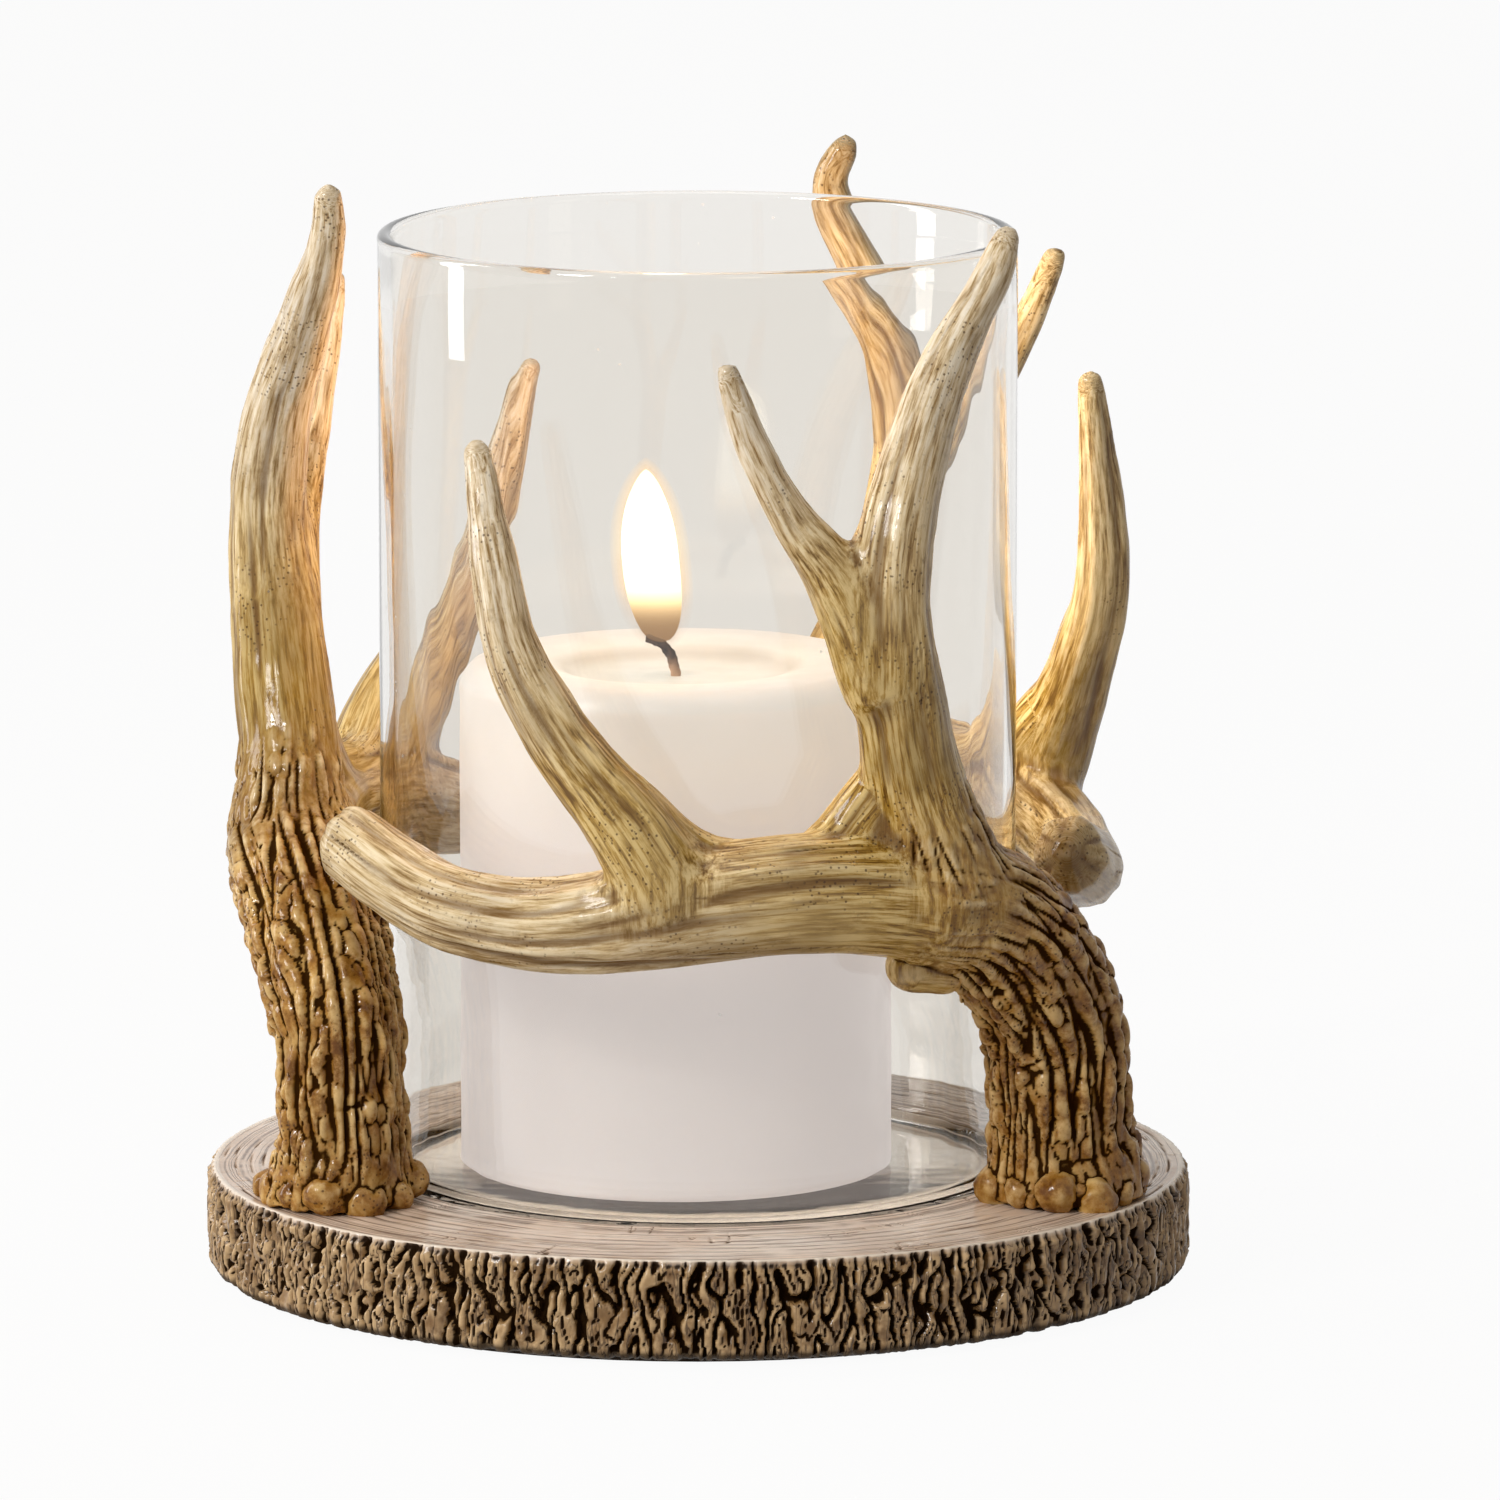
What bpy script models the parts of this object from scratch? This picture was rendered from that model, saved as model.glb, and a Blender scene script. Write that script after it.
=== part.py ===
"""Pillar candle holder: a log-slice base, three cast antlers, a hurricane glass and a pillar candle.

Units are metres in the scene and millimetres in the driving dimensions. The front is -Y, up is +Z,
and the origin is the middle of the felt's underside.
"""
import math

import bmesh
import bpy
from mathutils import Matrix, Vector

MM = 0.001
GAP = 0.3

# Base slab: a slice of log with bark left on, flat on top and underneath.
BASE_DIAMETER = 182.0
BASE_TOP = 19.6
BASE_LIP = 1.6
BASE_FOOT_ROUND = 2.4
BASE_WAVER = 0.7
RECESS_DEPTH = 3.6
RECESS_PLAY = 0.6
FELT_DIAMETER = 168.0
FELT_THICKNESS = 0.8

# Hurricane glass: straight cylinder with a closed bottom and a fire-polished rim, seated in the slab.
GLASS_DIAMETER = 118.0
GLASS_HEIGHT = 178.0
GLASS_WALL = 2.6
GLASS_FLOOR = 2.8
GLASS_CORNER = 2.0

# Pillar candle, burnt for a while.
CANDLE_DIAMETER = 80.0
CANDLE_HEIGHT = 95.0
CANDLE_OFFSET = -4.0
CANDLE_SHOULDER = 4.5
POOL_DIAMETER = 44.0
POOL_DEPTH = 3.0
WICK_DIAMETER = 2.0
WICK_RISE = 7.0
WICK_CURL = 5.6

# Antlers, shared by the three castings: the tallest tip above the slab, the shaft, and the beads round its foot.
ANTLER_HEIGHT = 179.4
SHAFT_RADIUS = 11.2
SHAFT_OVAL = 2.2
BURR_BEAD = 7.4
BURR_COUNT = 11
SPIGOT_DIAMETER = 9.0
SPIGOT_LENGTH = 6.0

# Wood screws driven from below into the spigots.
SCREW_SHANK = 4.0
SCREW_HEAD = 7.6
SCREW_LENGTH = 26.0
SCREW_RECESS = 3.0
SCREW_POINT = 3.0
SCREW_HEAD_THICKNESS = 2.4
DRIVE_SPAN = 4.2
DRIVE_SLOT = 0.9
DRIVE_DEPTH = 1.2

# Control points of one antler, root to tip:
# (azimuth in degrees, clear of the glass, height above the slab, radius).
SHAFT = ((-26.0, 1.0, -2.0, 13.6), (-26.0, 1.6, 4.5, 12.9), (-27.0, 2.5, 11.0, 11.7), (-28.5, 3.4, 21.0, 11.2),
         (-30.2, 3.4, 33.0, 11.2), (-37.0, 2.9, 46.0, 11.6), (-46.5, 2.5, 57.0, 12.0), (-58.0, 2.7, 62.0, 11.6))
BEAM = ((-51.4, 4.0, 60.4, 12.4), (-69.8, 3.8, 63.5, 11.2), (-86.9, 3.2, 62.4, 10.8), (-104.2, 3.8, 58.2, 9.2),
        (-118.0, 4.2, 57.0, 8.2), (-132.7, 4.9, 59.5, 7.8), (-149.8, 7.3, 67.0, 7.2))
TALL = ((-53.6, 5.5, 64.2, 11.5), (-58.1, 7.1, 79.7, 9.6), (-62.0, 9.9, 97.0, 8.9), (-64.4, 13.6, 122.0, 7.4),
        (-60.0, 11.6, 141.5, 6.4), (-51.6, 8.4, 158.5, 5.0), (-41.9, 8.2, 172.0, 3.9), (-39.0, 10.0, 179.4, 2.8))
SHORT = ((-64.5, 10.6, 102.0, 8.8), (-71.0, 12.4, 120.5, 6.2), (-77.3, 12.9, 132.6, 4.2), (-82.6, 13.4, 146.3, 3.4),
         (-85.9, 13.8, 159.2, 2.4))
LOW = ((-93.4, 7.2, 62.2, 9.0), (-98.2, 9.6, 74.6, 8.0), (-108.2, 10.6, 90.8, 6.3), (-115.4, 12.2, 106.6, 5.4),
       (-119.2, 11.8, 123.7, 4.4), (-123.0, 10.9, 142.8, 2.8))
SADDLE = ((-100.0, 9.0, 80.0, 6.2), (-91.0, 6.0, 69.8, 6.0), (-80.5, 4.8, 67.0, 6.0), (-71.0, 5.6, 69.0, 6.0),
          (-62.0, 8.0, 82.0, 6.0))
KNOB = ((-56.6, 6.6, 48.4, 4.4), (-50.8, 6.6, 47.4, 4.6))
GROWTH = ANTLER_HEIGHT / TALL[-1][2]
GIRTH = SHAFT_RADIUS / SHAFT[3][3]

# The castings are set by hand, so each stands a little differently:
# name, turn about the middle, foot swing, then (swing, rise) at the end of each branch.
ANTLERS = (
    ("antler_front", 0.0, 0.0, {}),
    ("antler_left", -120.0, -7.0, {"tall": (0.0, 5.0), "short": (0.0, 2.0), "low": (0.0, -1.0)}),
    ("antler_back", 126.0, 0.0, {"tall": (-20.0, 2.5), "short": (-13.0, 6.0), "low": (0.0, 3.0),
                                 "beam": (2.0, -4.0)}),
)

for old in list(bpy.data.objects):
    bpy.data.objects.remove(old, do_unlink=True)


def collection(name):
    made = bpy.data.collections.new(name)
    bpy.context.scene.collection.children.link(made)
    return made


PARTS = collection("pillar_candle_holder")
CUTTERS = collection("cutters")


def material(name, colour, roughness, metallic=0.0, transmission=0.0):
    made = bpy.data.materials.new(name)
    made.use_nodes = True
    shader = made.node_tree.nodes["Principled BSDF"]
    shader.inputs["Base Color"].default_value = (*colour, 1.0)
    shader.inputs["Roughness"].default_value = roughness
    shader.inputs["Metallic"].default_value = metallic
    shader.inputs["Transmission Weight"].default_value = transmission
    return made


SLAB_LOOK = material("slab_resin", (0.42, 0.30, 0.19), 0.65)
ANTLER_LOOK = material("antler_resin", (0.46, 0.34, 0.20), 0.55)
GLASS_LOOK = material("clear_glass", (0.95, 0.96, 0.96), 0.03, transmission=1.0)
WAX_LOOK = material("white_wax", (0.90, 0.84, 0.78), 0.45)
WICK_LOOK = material("charred_wick", (0.05, 0.035, 0.03), 0.95)
STEEL_LOOK = material("screw_steel", (0.55, 0.55, 0.56), 0.35, metallic=1.0)
FELT_LOOK = material("brown_felt", (0.10, 0.07, 0.05), 1.0)


def mesh_object(name, build, home, look=None):
    """Make an object from a bmesh; the coordinates are in millimetres."""
    bmesh.ops.scale(build, vec=(MM, MM, MM), verts=build.verts)
    bmesh.ops.recalc_face_normals(build, faces=build.faces)
    data = bpy.data.meshes.new(name)
    build.to_mesh(data)
    build.free()
    if look:
        data.materials.append(look)
    made = bpy.data.objects.new(name, data)
    home.objects.link(made)
    return made


def rounded(profile, corner, radius, steps=4):
    """Replace one corner of a profile, given by its place in the list, with an arc."""
    before, here, after = (Vector(profile[corner + step]) for step in (-1, 0, 1))
    into = (before - here).normalized()
    out = (after - here).normalized()
    start = here + into * radius
    end = here + out * radius
    arc = []
    for step in range(steps + 1):
        share = step / steps
        bend = start.lerp(here, share).lerp(here.lerp(end, share), share)
        arc.append(tuple(bend))
    return list(profile[:corner]) + arc + list(profile[corner + 1:])


def turned(name, profile, steps, home, look=None, closed=False):
    """Turn a profile of (radius, height) about Z with a Screw modifier; it runs down the outer side."""
    build = bmesh.new()
    points = [build.verts.new((radius, 0.0, height)) for radius, height in profile]
    pairs = list(zip(points, points[1:]))
    if closed:
        pairs.append((points[-1], points[0]))
    for first, second in pairs:
        if first.co.x > 0.0 or second.co.x > 0.0:
            build.edges.new((first, second))
    made = mesh_object(name, build, home, look)
    screw = made.modifiers.new("turn", 'SCREW')
    screw.axis = 'Z'
    screw.steps = steps
    screw.render_steps = steps
    screw.use_merge_vertices = True
    screw.merge_threshold = 0.00001
    screw.use_smooth_shade = False
    return made


def cut(target, cutter, operation='DIFFERENCE'):
    made = target.modifiers.new(cutter.name, 'BOOLEAN')
    made.operation = operation
    made.solver = 'EXACT'
    made.object = cutter
    cutter.display_type = 'WIRE'
    cutter.hide_render = True


def rod(name, radius, low, high, sides, home, look=None):
    """A plain round bar on the Z axis."""
    profile = [(0.0, high), (radius, high), (radius, low), (0.0, low)]
    return turned(name, profile, sides, home, look)


def through(points, share):
    """A point on the smooth curve through the control points, share running from 0 to 1."""
    spans = len(points) - 1
    span = min(int(share * spans), spans - 1)
    t = share * spans - span
    one, two = points[span], points[span + 1]
    zero = points[span - 1] if span else [2 * a - b for a, b in zip(one, two)]
    three = points[span + 2] if span + 2 <= spans else [2 * b - a for a, b in zip(one, two)]
    place = []
    for a, b, c, d in zip(zero, one, two, three):
        place.append(0.5 * (2 * b + (c - a) * t + (2 * a - 5 * b + 4 * c - d) * t * t
                            + (3 * b - a - 3 * c + d) * t ** 3))
    return place


def branch(controls, turn, foot=0.0, swing=0.0, rise=0.0, oval=0.0):
    """Points (x, y, z, radius) in millimetres along one branch of one antler."""
    rows = []
    last = len(controls) - 1
    for index, (azimuth, clear, height, radius) in enumerate(controls):
        grown = (index / last) ** 2
        rooted = (1.0 - index / last) ** 2
        radius = radius * GIRTH
        distance = GLASS_DIAMETER / 2 + clear * GIRTH + radius + abs(oval) * 0.7 + oval * 0.7
        angle = math.radians(azimuth + turn + swing * grown + foot * rooted) + oval * 0.7 / distance
        up = BASE_TOP + (height + rise * grown) * GROWTH
        rows.append((distance * math.cos(angle), distance * math.sin(angle), up, radius))
    count = 4 * last + 1
    return [through(rows, step / (count - 1)) for step in range(count)]


def stop_short(points, others):
    """Shorten a branch so that its round end rests against the nearest other branch, a gap away."""
    kept = len(points)
    for index, (x, y, z, radius) in enumerate(points):
        here = Vector((x, y, z))
        free = min((here - Vector(other[:3])).length - other[3] for other in others)
        if free < radius + 2 * GAP:
            kept = index
            break
    return points[:max(kept, 6)]


def tube(build, points):
    """Add a tapered tube with round ends to a bmesh: a bevelled curve plus a ball at each end."""
    data = bpy.data.curves.new("branch", 'CURVE')
    data.dimensions = '3D'
    data.bevel_depth = 1.0
    data.bevel_resolution = 4
    data.use_fill_caps = True
    spline = data.splines.new('POLY')
    spline.points.add(len(points) - 1)
    for target, (x, y, z, radius) in zip(spline.points, points):
        target.co = (x, y, z, 1.0)
        target.radius = radius
    carrier = bpy.data.objects.new("branch", data)
    bpy.context.scene.collection.objects.link(carrier)
    bpy.context.view_layer.update()
    solid = bpy.data.meshes.new_from_object(carrier.evaluated_get(bpy.context.evaluated_depsgraph_get()))
    build.from_mesh(solid)
    bpy.data.meshes.remove(solid)
    bpy.data.objects.remove(carrier, do_unlink=True)
    for x, y, z, radius in (points[0], points[-1]):
        bmesh.ops.create_icosphere(build, subdivisions=2, radius=radius, matrix=Matrix.Translation((x, y, z)))


def burr(build, inner, outer):
    """Add the beads round a foot to a bmesh, clear of the glass and inside the slab's edge."""
    middle = (Vector(inner[2][:2]) + Vector(outer[2][:2])) / 2
    for index in range(BURR_COUNT):
        size = BURR_BEAD / 2 * (1.0 + 0.22 * math.sin(2.4 * index))
        angle = 2 * math.pi * index / BURR_COUNT
        place = middle + inner[2][3] * Vector((math.cos(angle), math.sin(angle)))
        nearest = GLASS_DIAMETER / 2 + SHAFT[0][1] * GIRTH + size
        farthest = BASE_DIAMETER / 2 - BASE_LIP - size
        place = place.normalized() * min(max(place.length, nearest), farthest)
        height = BASE_TOP + size * (0.75 + 0.3 * math.cos(1.7 * index))
        bmesh.ops.create_icosphere(build, subdivisions=2, radius=size, matrix=Matrix.Translation((*place, height)))


def base_outline(angle):
    """Radius of the log slice: round, with the slight waver of a grown trunk."""
    waver = math.cos(2 * angle + 0.6) + 0.7 * math.cos(3 * angle + 1.9) + 0.5 * math.cos(5 * angle - 0.8)
    return BASE_DIAMETER / 2 + BASE_WAVER * waver / 2


def make_base():
    low = FELT_THICKNESS + GAP
    levels = [(-BASE_FOOT_ROUND, low), (-BASE_FOOT_ROUND * 0.35, low + BASE_FOOT_ROUND * 0.22),
              (-BASE_FOOT_ROUND * 0.08, low + BASE_FOOT_ROUND * 0.7), (0.0, low + BASE_FOOT_ROUND * 1.4),
              (0.0, BASE_TOP - BASE_LIP * 1.4), (-BASE_LIP * 0.35, BASE_TOP - BASE_LIP * 0.4), (-BASE_LIP, BASE_TOP)]
    sides = 96
    build = bmesh.new()
    rings = []
    for inset, height in levels:
        ring = []
        for side in range(sides):
            angle = 2 * math.pi * side / sides
            radius = base_outline(angle) + inset
            ring.append(build.verts.new((radius * math.cos(angle), radius * math.sin(angle), height)))
        rings.append(ring)
    for under, over in zip(rings, rings[1:]):
        for side in range(sides):
            after = (side + 1) % sides
            build.faces.new((under[side], under[after], over[after], over[side]))
    build.faces.new(list(reversed(rings[0])))
    build.faces.new(rings[-1])
    slab = mesh_object("base_slab", build, PARTS, SLAB_LOOK)
    recess = rod("glass_seat", GLASS_DIAMETER / 2 + RECESS_PLAY, BASE_TOP - RECESS_DEPTH, BASE_TOP + 5.0, 64, CUTTERS)
    cut(slab, recess)
    return slab


def make_antlers(base):
    branches = {}
    for name, turn, foot, sets in ANTLERS:
        branches[name] = {
            "shaft_out": branch(SHAFT, turn, foot, oval=SHAFT_OVAL),
            "shaft_in": branch(SHAFT, turn, foot, oval=-SHAFT_OVAL),
            "beam": branch(BEAM, turn, 0.0, *sets.get("beam", (0.0, 0.0))),
            "tall": branch(TALL, turn, 0.0, *sets.get("tall", (0.0, 0.0))),
            "short": branch(SHORT, turn, 0.0, *sets.get("short", (0.0, 0.0))),
            "low": branch(LOW, turn, 0.0, *sets.get("low", (0.0, 0.0))),
            "saddle": branch(SADDLE, turn),
            "knob": branch(KNOB, turn),
        }
    order = [entry[0] for entry in ANTLERS]
    for index, name in enumerate(order):
        resting_on = branches[order[(index + 1) % len(order)]]
        others = resting_on["shaft_out"] + resting_on["shaft_in"] + resting_on["tall"] + resting_on["beam"][:8]
        branches[name]["beam"] = stop_short(branches[name]["beam"], others)
    block = rod("below_slab", BASE_DIAMETER, -60.0, BASE_TOP + GAP, 32, CUTTERS)
    for name, turn, foot, sets in ANTLERS:
        build = bmesh.new()
        for points in branches[name].values():
            tube(build, points)
        burr(build, branches[name]["shaft_in"], branches[name]["shaft_out"])
        antler = mesh_object(name, build, PARTS, ANTLER_LOOK)
        cast = antler.modifiers.new("cast", 'REMESH')
        cast.mode = 'VOXEL'
        cast.voxel_size = 1.2 * MM
        soft = antler.modifiers.new("soften", 'SMOOTH')
        soft.factor = 0.5
        soft.iterations = 5
        light = antler.modifiers.new("lighten", 'DECIMATE')
        light.ratio = 0.053
        cut(antler, block)
        inner, outer = branches[name]["shaft_in"], branches[name]["shaft_out"]
        root = [(a + b) / 2 for a, b in zip(inner[2][:2], outer[2][:2])]
        fasten(base, antler, name.split("_")[1], root)


def fasten(base, antler, side, root):
    """Spigot on the antler, socket and screw hole in the slab, and the screw itself."""
    place = Matrix.Translation((root[0] * MM, root[1] * MM, 0.0))
    foot = BASE_TOP + GAP
    low = FELT_THICKNESS + GAP
    seat = low + SCREW_RECESS
    spigot = rod("spigot_" + side, SPIGOT_DIAMETER / 2, foot - SPIGOT_LENGTH, foot + SPIGOT_DIAMETER / 2, 20, CUTTERS)
    cut(antler, spigot, 'UNION')
    pilot = rod("pilot_" + side, SCREW_SHANK / 2 + GAP, low, seat + SCREW_LENGTH + GAP, 16, CUTTERS)
    cut(antler, pilot)
    socket = rod("socket_" + side, SPIGOT_DIAMETER / 2 + GAP, foot - SPIGOT_LENGTH - GAP, foot + 6.0, 20, CUTTERS)
    cut(base, socket)
    drill = rod("drill_" + side, SCREW_SHANK / 2 + GAP, -6.0, BASE_TOP, 16, CUTTERS)
    cut(base, drill)
    bore = rod("counterbore_" + side, SCREW_HEAD / 2 + GAP, -6.0, seat, 20, CUTTERS)
    cut(base, bore)
    head = seat - GAP
    crown = head - SCREW_HEAD_THICKNESS
    profile = [(0.0, head + SCREW_LENGTH), (SCREW_SHANK * 0.15, head + SCREW_LENGTH),
               (SCREW_SHANK / 2, head + SCREW_LENGTH - SCREW_POINT), (SCREW_SHANK / 2, head), (SCREW_HEAD / 2, head),
               (SCREW_HEAD / 2, head - SCREW_HEAD_THICKNESS * 0.6), (SCREW_HEAD * 0.4, head - SCREW_HEAD_THICKNESS * 0.92),
               (0.0, crown)]
    screw = turned("screw_" + side, profile, 16, PARTS, STEEL_LOOK)
    build = bmesh.new()
    for span in ((DRIVE_SPAN, DRIVE_SLOT), (DRIVE_SLOT, DRIVE_SPAN)):
        bmesh.ops.create_cube(build, size=1.0, matrix=Matrix.Translation((0.0, 0.0, crown))
                              @ Matrix.Diagonal((span[0], span[1], 2 * DRIVE_DEPTH, 1.0)))
    cross = mesh_object("cross_" + side, build, CUTTERS)
    driver = screw.modifiers.new("driver", 'BOOLEAN')
    driver.operation = 'DIFFERENCE'
    driver.solver = 'EXACT'
    driver.use_self = True
    driver.object = cross
    cross.display_type = 'WIRE'
    cross.hide_render = True
    for piece in (spigot, pilot, socket, drill, bore, screw, cross):
        piece.matrix_world = place


def make_felt():
    profile = [(0.0, FELT_THICKNESS), (FELT_DIAMETER / 2, FELT_THICKNESS), (FELT_DIAMETER / 2, 0.0), (0.0, 0.0)]
    return turned("felt_pad", profile, 72, PARTS, FELT_LOOK)


def make_glass():
    low = BASE_TOP - RECESS_DEPTH + GAP
    high = low + GLASS_HEIGHT
    outer = GLASS_DIAMETER / 2
    inner = outer - GLASS_WALL
    profile = [(inner, high - GLASS_WALL / 2), (inner, high), (outer, high), (outer, low), (0.0, low)]
    profile = rounded(profile, 3, GLASS_CORNER, 3)
    profile = rounded(profile, 2, GLASS_WALL / 2, 2)
    profile = rounded(profile, 1, GLASS_WALL / 2 * 0.99, 2)[1:]
    floor = [(0.0, low + GLASS_FLOOR), (inner, low + GLASS_FLOOR), (inner, high - GLASS_WALL / 2)]
    floor = rounded(floor, 1, GLASS_CORNER + 1.5, 3)
    return turned("glass_cylinder", profile + floor[:-1], 64, PARTS, GLASS_LOOK, closed=True)


def make_candle():
    low = BASE_TOP - RECESS_DEPTH + 2 * GAP + GLASS_FLOOR
    high = low + CANDLE_HEIGHT
    outer = CANDLE_DIAMETER / 2
    pool = POOL_DIAMETER / 2
    bore = WICK_DIAMETER / 2 + GAP
    dip = high - POOL_DEPTH
    profile = [(bore, dip), (pool * 0.55, dip), (pool * 0.86, dip + POOL_DEPTH * 0.18), (pool, high - POOL_DEPTH * 0.35),
               (pool + 3.0, high - POOL_DEPTH * 0.12), (outer - CANDLE_SHOULDER * 1.9, high)]
    shoulder = [(outer - CANDLE_SHOULDER * 1.9, high), (outer, high), (outer, low), (bore, low)]
    shoulder = rounded(shoulder, 2, 1.5, 2)
    shoulder = rounded(shoulder, 1, CANDLE_SHOULDER, 5)
    candle = turned("candle", profile + shoulder[1:], 48, PARTS, WAX_LOOK, closed=True)
    candle.location = (CANDLE_OFFSET * MM, 0.0, 0.0)
    return candle


def make_wick():
    """The braided wick runs the whole height of the wax and curls over where it burns."""
    low = BASE_TOP - RECESS_DEPTH + 3 * GAP + GLASS_FLOOR
    free = low - GAP + CANDLE_HEIGHT - POOL_DEPTH
    points = [(0.0, 0.0, low, 1.0), (0.0, 0.0, free - 2.0, 1.0), (0.0, 0.0, free, 1.0)]
    for step in range(1, 9):
        share = step / 8
        aside = WICK_CURL * (0.2 * share + 0.8 * share ** 2.4)
        points.append((-aside, -0.6 * share, free + WICK_RISE * math.sin(share * 1.45), 1.0 - 0.25 * share))
    data = bpy.data.curves.new("wick_line", 'CURVE')
    data.dimensions = '3D'
    data.bevel_depth = WICK_DIAMETER / 2 * MM
    data.bevel_resolution = 2
    data.use_fill_caps = True
    spline = data.splines.new('POLY')
    spline.points.add(len(points) - 1)
    for target, (x, y, z, radius) in zip(spline.points, points):
        target.co = (x * MM, y * MM, z * MM, 1.0)
        target.radius = radius
    carrier = bpy.data.objects.new("wick_line", data)
    bpy.context.scene.collection.objects.link(carrier)
    bpy.context.view_layer.update()
    solid = bpy.data.meshes.new_from_object(carrier.evaluated_get(bpy.context.evaluated_depsgraph_get()))
    build = bmesh.new()
    build.from_mesh(solid)
    bmesh.ops.remove_doubles(build, verts=build.verts, dist=0.00002)
    bmesh.ops.recalc_face_normals(build, faces=build.faces)
    build.to_mesh(solid)
    build.free()
    bpy.data.objects.remove(carrier, do_unlink=True)
    solid.materials.clear()
    solid.materials.append(WICK_LOOK)
    wick = bpy.data.objects.new("wick", solid)
    PARTS.objects.link(wick)
    wick.location = (CANDLE_OFFSET * MM, 0.0, 0.0)
    return wick


slab = make_base()
make_antlers(slab)
make_felt()
make_glass()
make_candle()
make_wick()
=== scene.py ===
"""Looks of the pillar candle holder: sculpted antlers, bark and growth rings, glass, wax and flame.

Everything is in metres in the CAD frame: +Z up, the photograph's camera looks along +Y.
"""
import math
from types import SimpleNamespace

import bpy
import numpy as np
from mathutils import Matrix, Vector


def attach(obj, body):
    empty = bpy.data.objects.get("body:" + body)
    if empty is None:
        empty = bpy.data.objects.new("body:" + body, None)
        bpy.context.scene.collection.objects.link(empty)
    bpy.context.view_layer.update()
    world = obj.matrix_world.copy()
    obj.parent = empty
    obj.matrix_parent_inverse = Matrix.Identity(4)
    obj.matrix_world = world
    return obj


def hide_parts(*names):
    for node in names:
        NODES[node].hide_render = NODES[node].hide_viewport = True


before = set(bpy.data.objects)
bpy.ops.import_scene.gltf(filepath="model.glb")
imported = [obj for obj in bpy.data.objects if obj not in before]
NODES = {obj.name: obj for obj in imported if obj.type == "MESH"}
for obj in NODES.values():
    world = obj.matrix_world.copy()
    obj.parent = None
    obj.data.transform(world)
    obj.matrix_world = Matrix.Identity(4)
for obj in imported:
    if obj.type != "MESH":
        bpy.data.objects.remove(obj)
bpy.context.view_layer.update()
MM = 0.001

# Sizes repeated from the CAD source, in millimetres.
BASE_RADIUS = 91.0
BASE_TOP = 19.6
BASE_BOTTOM = 1.1
BASE_WAVER = 0.7
SEAT_RADIUS = 59.04
SEAT_DEPTH = 3.6
GLASS_RADIUS = 59.0
GLASS_WALL = 2.6
GLASS_FLOOR = 2.8
GLASS_LOW = BASE_TOP - SEAT_DEPTH + 0.3
GLASS_HIGH = GLASS_LOW + 178.0
CANDLE_RADIUS = 40.0
CANDLE_X = -4.0
CANDLE_LOW = GLASS_LOW + GLASS_FLOOR + 0.3
CANDLE_HIGH = CANDLE_LOW + 95.0
POOL_RADIUS = 22.0
POOL_DEPTH = 3.0
WICK_RADIUS = 1.0
WICK_RISE = 7.0
WICK_CURL = 5.6
SHAFT_OVAL = 2.2
BURR_BEAD = 7.4
BURR_COUNT = 11

# Sizes of the dressed surfaces, in millimetres.
BARK_DEPTH = 2.7
BARK_RISE = 0.35
RING_WIDTH = 2.6
SLAB_LIP = 2.2
ROOT_FLOW = 11.0
FLAME_FOOT = (CANDLE_X - 4.2, -0.5, CANDLE_HIGH + 4.2)
FLAME_TALL = 33.0
FLAME_WIDE = 5.3

# Centre lines of one antler: (azimuth in degrees, clear of the glass, height above the slab, radius).
SHAFT = ((-26.0, 1.0, -2.0, 13.6), (-26.0, 1.6, 4.5, 12.9), (-27.0, 2.5, 11.0, 11.7),
         (-28.5, 3.4, 21.0, 11.2), (-30.2, 3.4, 33.0, 11.2), (-37.0, 2.9, 46.0, 11.6),
         (-46.5, 2.5, 57.0, 12.0), (-58.0, 2.7, 62.0, 11.6))
BEAM = ((-51.4, 4.0, 60.4, 12.4), (-69.8, 3.8, 63.5, 11.2), (-86.9, 3.2, 62.4, 10.8),
        (-104.2, 3.8, 58.2, 9.2), (-118.0, 4.2, 57.0, 8.2), (-132.7, 4.9, 59.5, 7.8),
        (-149.8, 7.3, 67.0, 7.2))
TALL = ((-53.6, 5.5, 64.2, 11.5), (-58.1, 7.1, 79.7, 9.6), (-62.0, 9.9, 97.0, 8.9),
        (-64.4, 13.6, 122.0, 7.4), (-60.0, 11.6, 141.5, 6.4), (-51.6, 8.4, 158.5, 5.0),
        (-41.9, 8.2, 172.0, 3.9), (-39.0, 10.0, 179.4, 2.8))
SHORT = ((-64.5, 10.6, 102.0, 8.8), (-71.0, 12.4, 120.5, 6.2), (-77.3, 12.9, 132.6, 4.2),
         (-82.6, 13.4, 146.3, 3.4), (-85.9, 13.8, 159.2, 2.4))
LOW = ((-93.4, 7.2, 62.2, 9.0), (-98.2, 9.6, 74.6, 8.0), (-108.2, 10.6, 90.8, 6.3),
       (-115.4, 12.2, 106.6, 5.4), (-119.2, 11.8, 123.7, 4.4), (-123.0, 10.9, 142.8, 2.8))
SADDLE = ((-100.0, 9.0, 80.0, 6.2), (-91.0, 6.0, 69.8, 6.0), (-80.5, 4.8, 67.0, 6.0),
          (-71.0, 5.6, 69.0, 6.0), (-62.0, 8.0, 82.0, 6.0))
KNOB = ((-56.6, 6.6, 48.4, 4.4), (-50.8, 6.6, 47.4, 4.6))
TINES = ("tall", "short", "low")
INNER_ENDS = ("shaft", "saddle", "knob")
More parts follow.
